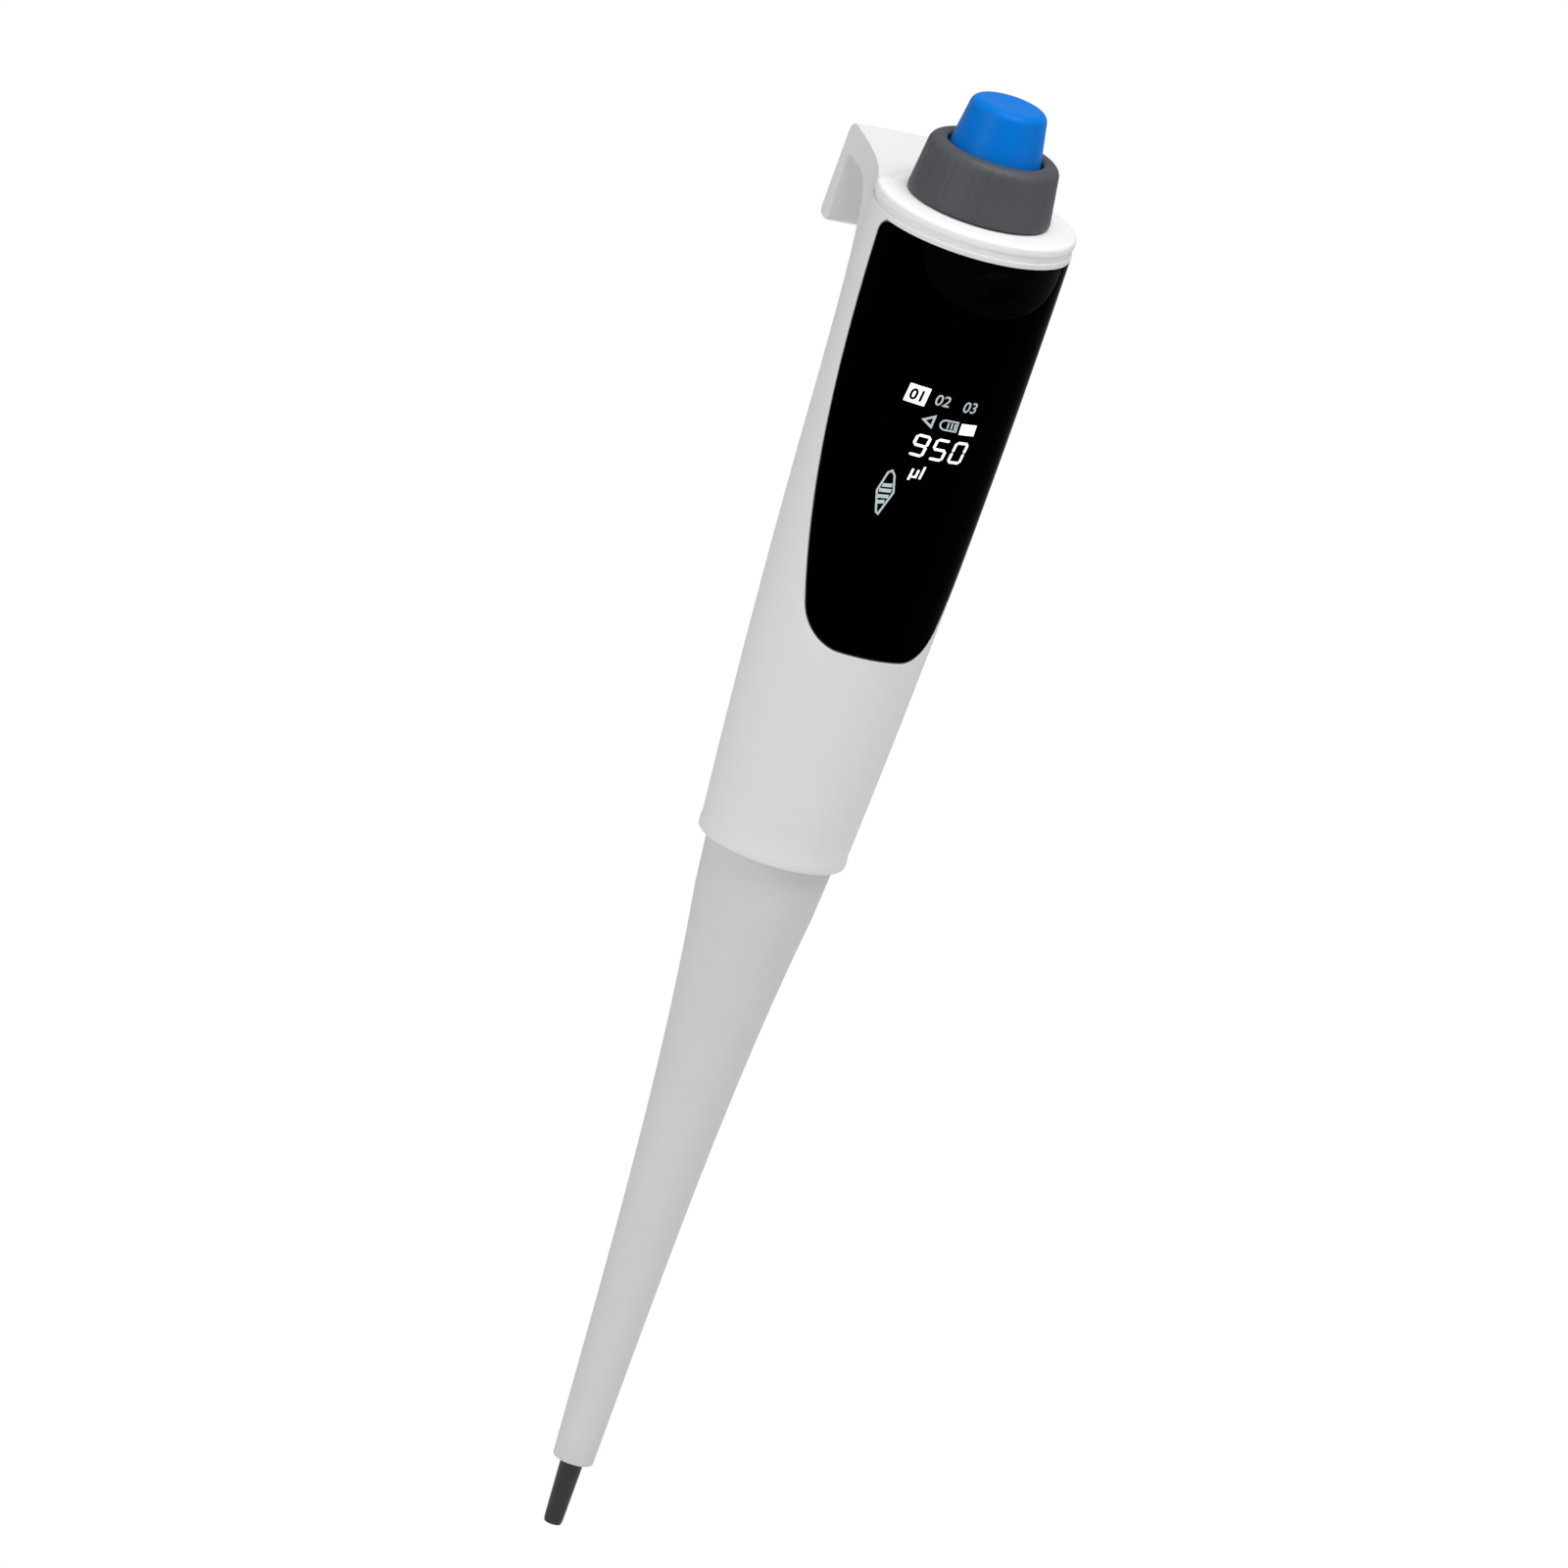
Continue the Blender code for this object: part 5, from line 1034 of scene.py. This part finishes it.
def add_node(owner, kind, sockets, **settings):
    """Adds a node to a material or world, with its settings, its sockets filled with values or links."""
    tree = owner.node_tree
    made = tree.nodes.new(kind)
    for key, value in settings.items():
        setattr(made, key, value)
    for socket, value in sockets.items():
        if isinstance(value, bpy.types.NodeSocket):
            tree.links.new(value, made.inputs[socket])
        else:
            made.inputs[socket].default_value = value
    return made


def new_material(name):
    material = bpy.data.materials.new(name)
    material.use_nodes = True
    return material, material.node_tree.nodes["Principled BSDF"]


def moulded_plastic(name, light, dark, roughness, grain_mm=0.5, level=0.5):
    """Plastic from a spark-finished mould: an even satin with a fine grain, faintly mottled.

    The real grain is about 0.05 mm and too fine to show, so grain_mm is drawn coarser."""
    material, shader = new_material(name)
    place = add_node(material, "ShaderNodeTexCoord", {}).outputs["Object"]
    cloud = add_node(
        material, "ShaderNodeTexNoise", {"Vector": place, "Scale": per(MOTTLE_MM), "Detail": 3.0}
    )
    tone = add_node(
        material, "ShaderNodeMix",
        {"Factor": cloud.outputs["Fac"], "A": linear(dark), "B": linear(light)},
        data_type="RGBA",
    )
    grain = add_node(material, "ShaderNodeTexNoise", {"Vector": place, "Scale": per(grain_mm), "Detail": 2.0})
    sheen = add_node(
        material, "ShaderNodeMapRange",
        {"Value": grain.outputs["Fac"], "To Min": roughness - SHEEN_BELOW, "To Max": roughness + SHEEN_ABOVE},
    )
    texture = add_node(
        material, "ShaderNodeBump",
        {"Height": grain.outputs["Fac"], "Strength": GRAIN_RELIEF, "Distance": GRAIN_HEIGHT * MM},
    )
    material.node_tree.links.new(tone.outputs["Result"], shader.inputs["Base Color"])
    material.node_tree.links.new(sheen.outputs["Result"], shader.inputs["Roughness"])
    material.node_tree.links.new(texture.outputs["Normal"], shader.inputs["Normal"])
    shader.inputs["IOR"].default_value = PLASTIC_IOR
    shader.inputs["Specular IOR Level"].default_value = level
    return material


def polished_plastic(name, colour, level=0.5, haze=0.06):
    """A clear polished skin over one colour, with a faint ripple and a little haze."""
    material, shader = new_material(name)
    place = add_node(material, "ShaderNodeTexCoord", {}).outputs["Object"]
    ripple = add_node(
        material, "ShaderNodeTexNoise", {"Vector": place, "Scale": per(RIPPLE_MM), "Detail": 1.0}
    )
    relief = add_node(
        material, "ShaderNodeBump",
        {"Height": ripple.outputs["Fac"], "Strength": RIPPLE_RELIEF, "Distance": RIPPLE_HEIGHT * MM},
    )
    wipe = add_node(
        material, "ShaderNodeMapRange",
        {"Value": ripple.outputs["Fac"], "To Min": haze, "To Max": haze + WIPE_HAZE},
    )
    material.node_tree.links.new(relief.outputs["Normal"], shader.inputs["Normal"])
    material.node_tree.links.new(wipe.outputs["Result"], shader.inputs["Roughness"])
    shader.inputs["Base Color"].default_value = linear(colour)
    shader.inputs["IOR"].default_value = ACRYLIC_IOR
    shader.inputs["Specular IOR Level"].default_value = level
    return material


def turned_metal(name, colour, roughness):
    """Turned or ground metal: fine rings left by the tool round the axis."""
    material, shader = new_material(name)
    place = add_node(material, "ShaderNodeTexCoord", {}).outputs["Object"]
    stretch = add_node(
        material, "ShaderNodeMapping", {"Vector": place, "Scale": (RING_SQUEEZE, RING_SQUEEZE, 1.0)}
    )
    rings = add_node(
        material, "ShaderNodeTexNoise",
        {"Vector": stretch.outputs["Vector"], "Scale": per(TOOL_LINE_MM * TOOL_LINE_DRAWN), "Detail": 2.0},
    )
    low, high = roughness - METAL_SHEEN_BELOW, roughness + METAL_SHEEN_ABOVE
    sheen = add_node(
        material, "ShaderNodeMapRange", {"Value": rings.outputs["Fac"], "To Min": low, "To Max": high}
    )
    material.node_tree.links.new(sheen.outputs["Result"], shader.inputs["Roughness"])
    shader.inputs["Base Color"].default_value = linear(colour)
    shader.inputs["Metallic"].default_value = 1.0
    return material


def lit_segment(name, colour, strength):
    """A display's lit segment: a soft bluish white that glows a little."""
    material, shader = new_material(name)
    shader.inputs["Base Color"].default_value = linear(colour)
    shader.inputs["Roughness"].default_value = SEGMENT_ROUGHNESS
    shader.inputs["Emission Color"].default_value = linear(colour)
    shader.inputs["Emission Strength"].default_value = strength
    return material


# Moulded ABS of the handle: soft white with wide, weak highlights
WHITE_ABS = moulded_plastic("off_white_abs", "#dddddd", "#d9d9d9", 0.5)
# Moulded ABS of the cover: the handle's white painted lighter, a painted highlight for its top under the
# overhead lamp, and a little smoother
PAINTED_BRIGHT_COVER_ABS = moulded_plastic("white_cover_abs_painted_bright", "#e8e8e8", "#e4e4e4", 0.45)
# Moulded polypropylene: light grey, even and a little waxy
SLEEVE_PP = moulded_plastic("light_grey_polypropylene", "#d0d0d1", "#cbcbcd", 0.5)
# Finely sparked ABS: dark grey and matt, so that the flutes hardly glint
KNOB_ABS = moulded_plastic("dark_grey_abs", "#4c4d51", "#46474b", 0.48, level=0.22)
# Moulded PVDF: a smooth grey near to black
NOZZLE_PVDF = moulded_plastic("dark_grey_pvdf", "#353537", "#2f2f31", 0.42, level=0.2)
# Smoothly moulded ABS: a full blue that keeps its colour in the light
BUTTON_ABS = moulded_plastic("bright_blue_abs", "#0371cc", "#016ac2", 0.34, level=0.06)
# Acrylic printed black on its back: one deep black with hardly a reflection
PANEL_PMMA = polished_plastic("black_backed_acrylic", "#010101", 0.001)
# Polished black ABS: black as the panel, with a softer gleam
TRIGGER_ABS = polished_plastic("polished_black_abs", "#010101", 0.012, 0.2)
# Moulded acetal: milky and smooth
ACETAL = moulded_plastic("natural_acetal", "#e4e4de", "#dadad4", 0.4)
# Solder mask over a glass weave: glossy green with a coarse unevenness
CIRCUIT_BOARD = moulded_plastic("green_solder_mask", "#14562c", "#104a26", 0.35, grain_mm=1.2)
# Shrunk PVC film: blue and smooth, with slow waves
CELL_WRAP = moulded_plastic("pvc_shrink_sleeve", "#1d5b82", "#194f72", 0.32, grain_mm=2.0)
# Moulded nitrile rubber: black and dull
NITRILE = moulded_plastic("nitrile_rubber", "#1c1c1c", "#141414", 0.7)
# Turned stainless steel: bright, with fine rings
STEEL = turned_metal("stainless_steel", "#c9cacc", 0.3)
# Turned brass: yellow, with fine rings
BRASS = turned_metal("turned_brass", "#c9a55a", 0.3)
# The display's polished glass: black where nothing is lit
DISPLAY_GLASS = polished_plastic("display_glass", "#0a0c10")
# Bright segments, and those of the small signs at less than half their strength
LIT = lit_segment("lit_segment_white", "#f2f8ff", 0.75)
LIT_DIM = lit_segment("lit_segment_grey", "#a8b4b6", 0.3)

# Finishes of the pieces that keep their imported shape
KEPT = {
    "encoder_ring": ACETAL, "encoder_board": CIRCUIT_BOARD, "guide_bush": ACETAL,
    "eject_stem": STEEL, "ejector_bar": SLEEVE_PP,
    "cylinder": STEEL, "piston": STEEL, "piston_seal": ACETAL, "o_ring": NITRILE,
    "seal_retainer": BRASS, "piston_coupler": BRASS, "lead_screw": STEEL,
    "drive_frame": SLEEVE_PP, "motor_can": STEEL, "motor_rotor": STEEL,
    "motor_screw_1": STEEL, "motor_screw_2": STEEL, "cradle": ACETAL,
    "battery_cell": CELL_WRAP, "main_board": CIRCUIT_BOARD, "display_module": DISPLAY_GLASS,
    "trigger_switch": STEEL, "charging_socket": STEEL,
    "case_screw_1": STEEL, "case_screw_2": STEEL, "case_screw_3": STEEL, "case_screw_4": STEEL,
}


def finish_kept_pieces():
    for node, finish in KEPT.items():
        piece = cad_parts[node]
        piece.data.materials.clear()
        piece.data.materials.append(finish)


# Light, floor and camera, in metres and watts

WHITE = (1, 1, 1, 1)
DAYLIGHT = (0.97, 0.98, 1.0, 1)
DAYLIGHT_STRENGTH = 0.33
PAPER = "#e4e4e4"
FLOOR_SIZE = 30
FLOOR_DROP = 0.02
LAMP_AIM = (0, -LAND_MIDDLE_Y * MM, -0.11)
# Each lamp's place, the side of its square, and its power
LAMPS = {
    "overhead": ((0.05, -0.4, 1.5), 1.3, 29.0),
    "front_left": ((-1.4, -0.6, 0.35), 0.8, 6.3),
    "front_right": ((1.1, -1.0, 0.3), 0.8, 2.0),
}
# The photograph's view: from the front left, a little above, rolled so that the axis leans right
VIEW_TURN = math.radians(25.0)
VIEW_TILT = math.radians(16.0)
VIEW_ROLL = math.radians(17.93)
VIEW_DISTANCE = 12.5
VIEW_WIDTH = 0.27948
VIEW_CENTRE = Vector((-1.1, 0.5 - LAND_MIDDLE_Y, 143.9 - LAND_Z)) * MM
SENSOR_WIDTH = 36.0
NEAREST = 0.05
FARTHEST = 100.0


def lamp(name, place, side, watts):
    deselect()
    bpy.ops.object.light_add(type="AREA", location=place)
    light = bpy.context.object
    light.name = name
    light.data.shape = "RECTANGLE"
    light.data.size = light.data.size_y = side
    light.data.energy = watts
    aim = Vector(LAMP_AIM) - Vector(place)
    light.rotation_mode = "QUATERNION"
    light.rotation_quaternion = aim.to_track_quat("-Z", "Y")


def show_as_white(owner, plain, white_kind, output_kind):
    """White to the camera and through clear things, while the object is lit by the plain shader."""
    path = add_node(owner, "ShaderNodeLightPath", {}).outputs
    seen = add_node(
        owner, "ShaderNodeMath",
        {0: path["Is Camera Ray"], 1: path["Is Transmission Ray"]},
        operation="MAXIMUM",
    )
    white = add_node(owner, white_kind, {"Color": WHITE, "Strength": 1.0})
    choice = add_node(
        owner, "ShaderNodeMixShader",
        {"Fac": seen.outputs[0], 1: plain.outputs[0], 2: white.outputs[0]},
    )
    add_node(owner, output_kind, {"Surface": choice.outputs[0]})


def set_stage():
    """Even daylight, a floor of white paper below the nozzle, and three lamps."""
    world = bpy.data.worlds.new("soft_daylight")
    bpy.context.scene.world = world
    world.use_nodes = True
    world.node_tree.nodes.clear()
    plain = add_node(world, "ShaderNodeBackground", {"Color": DAYLIGHT, "Strength": DAYLIGHT_STRENGTH})
    show_as_white(world, plain, "ShaderNodeBackground", "ShaderNodeOutputWorld")

    deselect()
    bpy.ops.mesh.primitive_plane_add(size=FLOOR_SIZE, location=(0, 0, -LAND_Z * MM - FLOOR_DROP))
    floor = bpy.context.object
    floor.name = "floor"
    pick(floor)
    bpy.ops.object.transform_apply(location=True, rotation=True, scale=True)
    # Matt white paper, which gives back an even soft light
    paper = bpy.data.materials.new("white_paper_sweep")
    paper.use_nodes = True
    paper.node_tree.nodes.clear()
    plain = add_node(paper, "ShaderNodeBsdfDiffuse", {"Color": linear(PAPER)})
    show_as_white(paper, plain, "ShaderNodeEmission", "ShaderNodeOutputMaterial")
    floor.data.materials.append(paper)

    for name, (place, side, watts) in LAMPS.items():
        lamp(name, place, side, watts)


def set_camera():
    """A long lens, so far off that the object shows hardly any perspective."""
    turn, tilt, roll = VIEW_TURN, VIEW_TILT, VIEW_ROLL
    right = Vector((math.cos(turn), -math.sin(turn), 0))
    back = Vector((-math.sin(turn) * math.cos(tilt), -math.cos(turn) * math.cos(tilt), math.sin(tilt)))
    up = back.cross(right)
    side = right * math.cos(roll) + up * math.sin(roll)
    head = up * math.cos(roll) - right * math.sin(roll)
    deselect()
    bpy.ops.object.camera_add()
    camera = bpy.context.object
    camera.name = "photo_view"
    camera.data.type = "PERSP"
    camera.data.sensor_width = SENSOR_WIDTH
    camera.data.lens = SENSOR_WIDTH * VIEW_DISTANCE / VIEW_WIDTH
    camera.data.clip_start, camera.data.clip_end = NEAREST, FARTHEST
    place = VIEW_CENTRE + back * VIEW_DISTANCE
    camera.matrix_world = Matrix((
        (side.x, head.x, back.x, place.x),
        (side.y, head.y, back.y, place.y),
        (side.z, head.z, back.z, place.z),
        (0, 0, 0, 1),
    ))
    bpy.context.scene.camera = camera


set_stage()
set_camera()
finish_kept_pieces()
make_front_shell()
make_rear_shell()
make_front_panel()
make_trigger()
make_top_cover()
make_setting_ring()
make_eject_button()
make_ejector_spring()
make_ejector_sleeve()
make_tip_cone()
make_display_marks()

scene = bpy.context.scene
scene.view_settings.view_transform = "Standard"
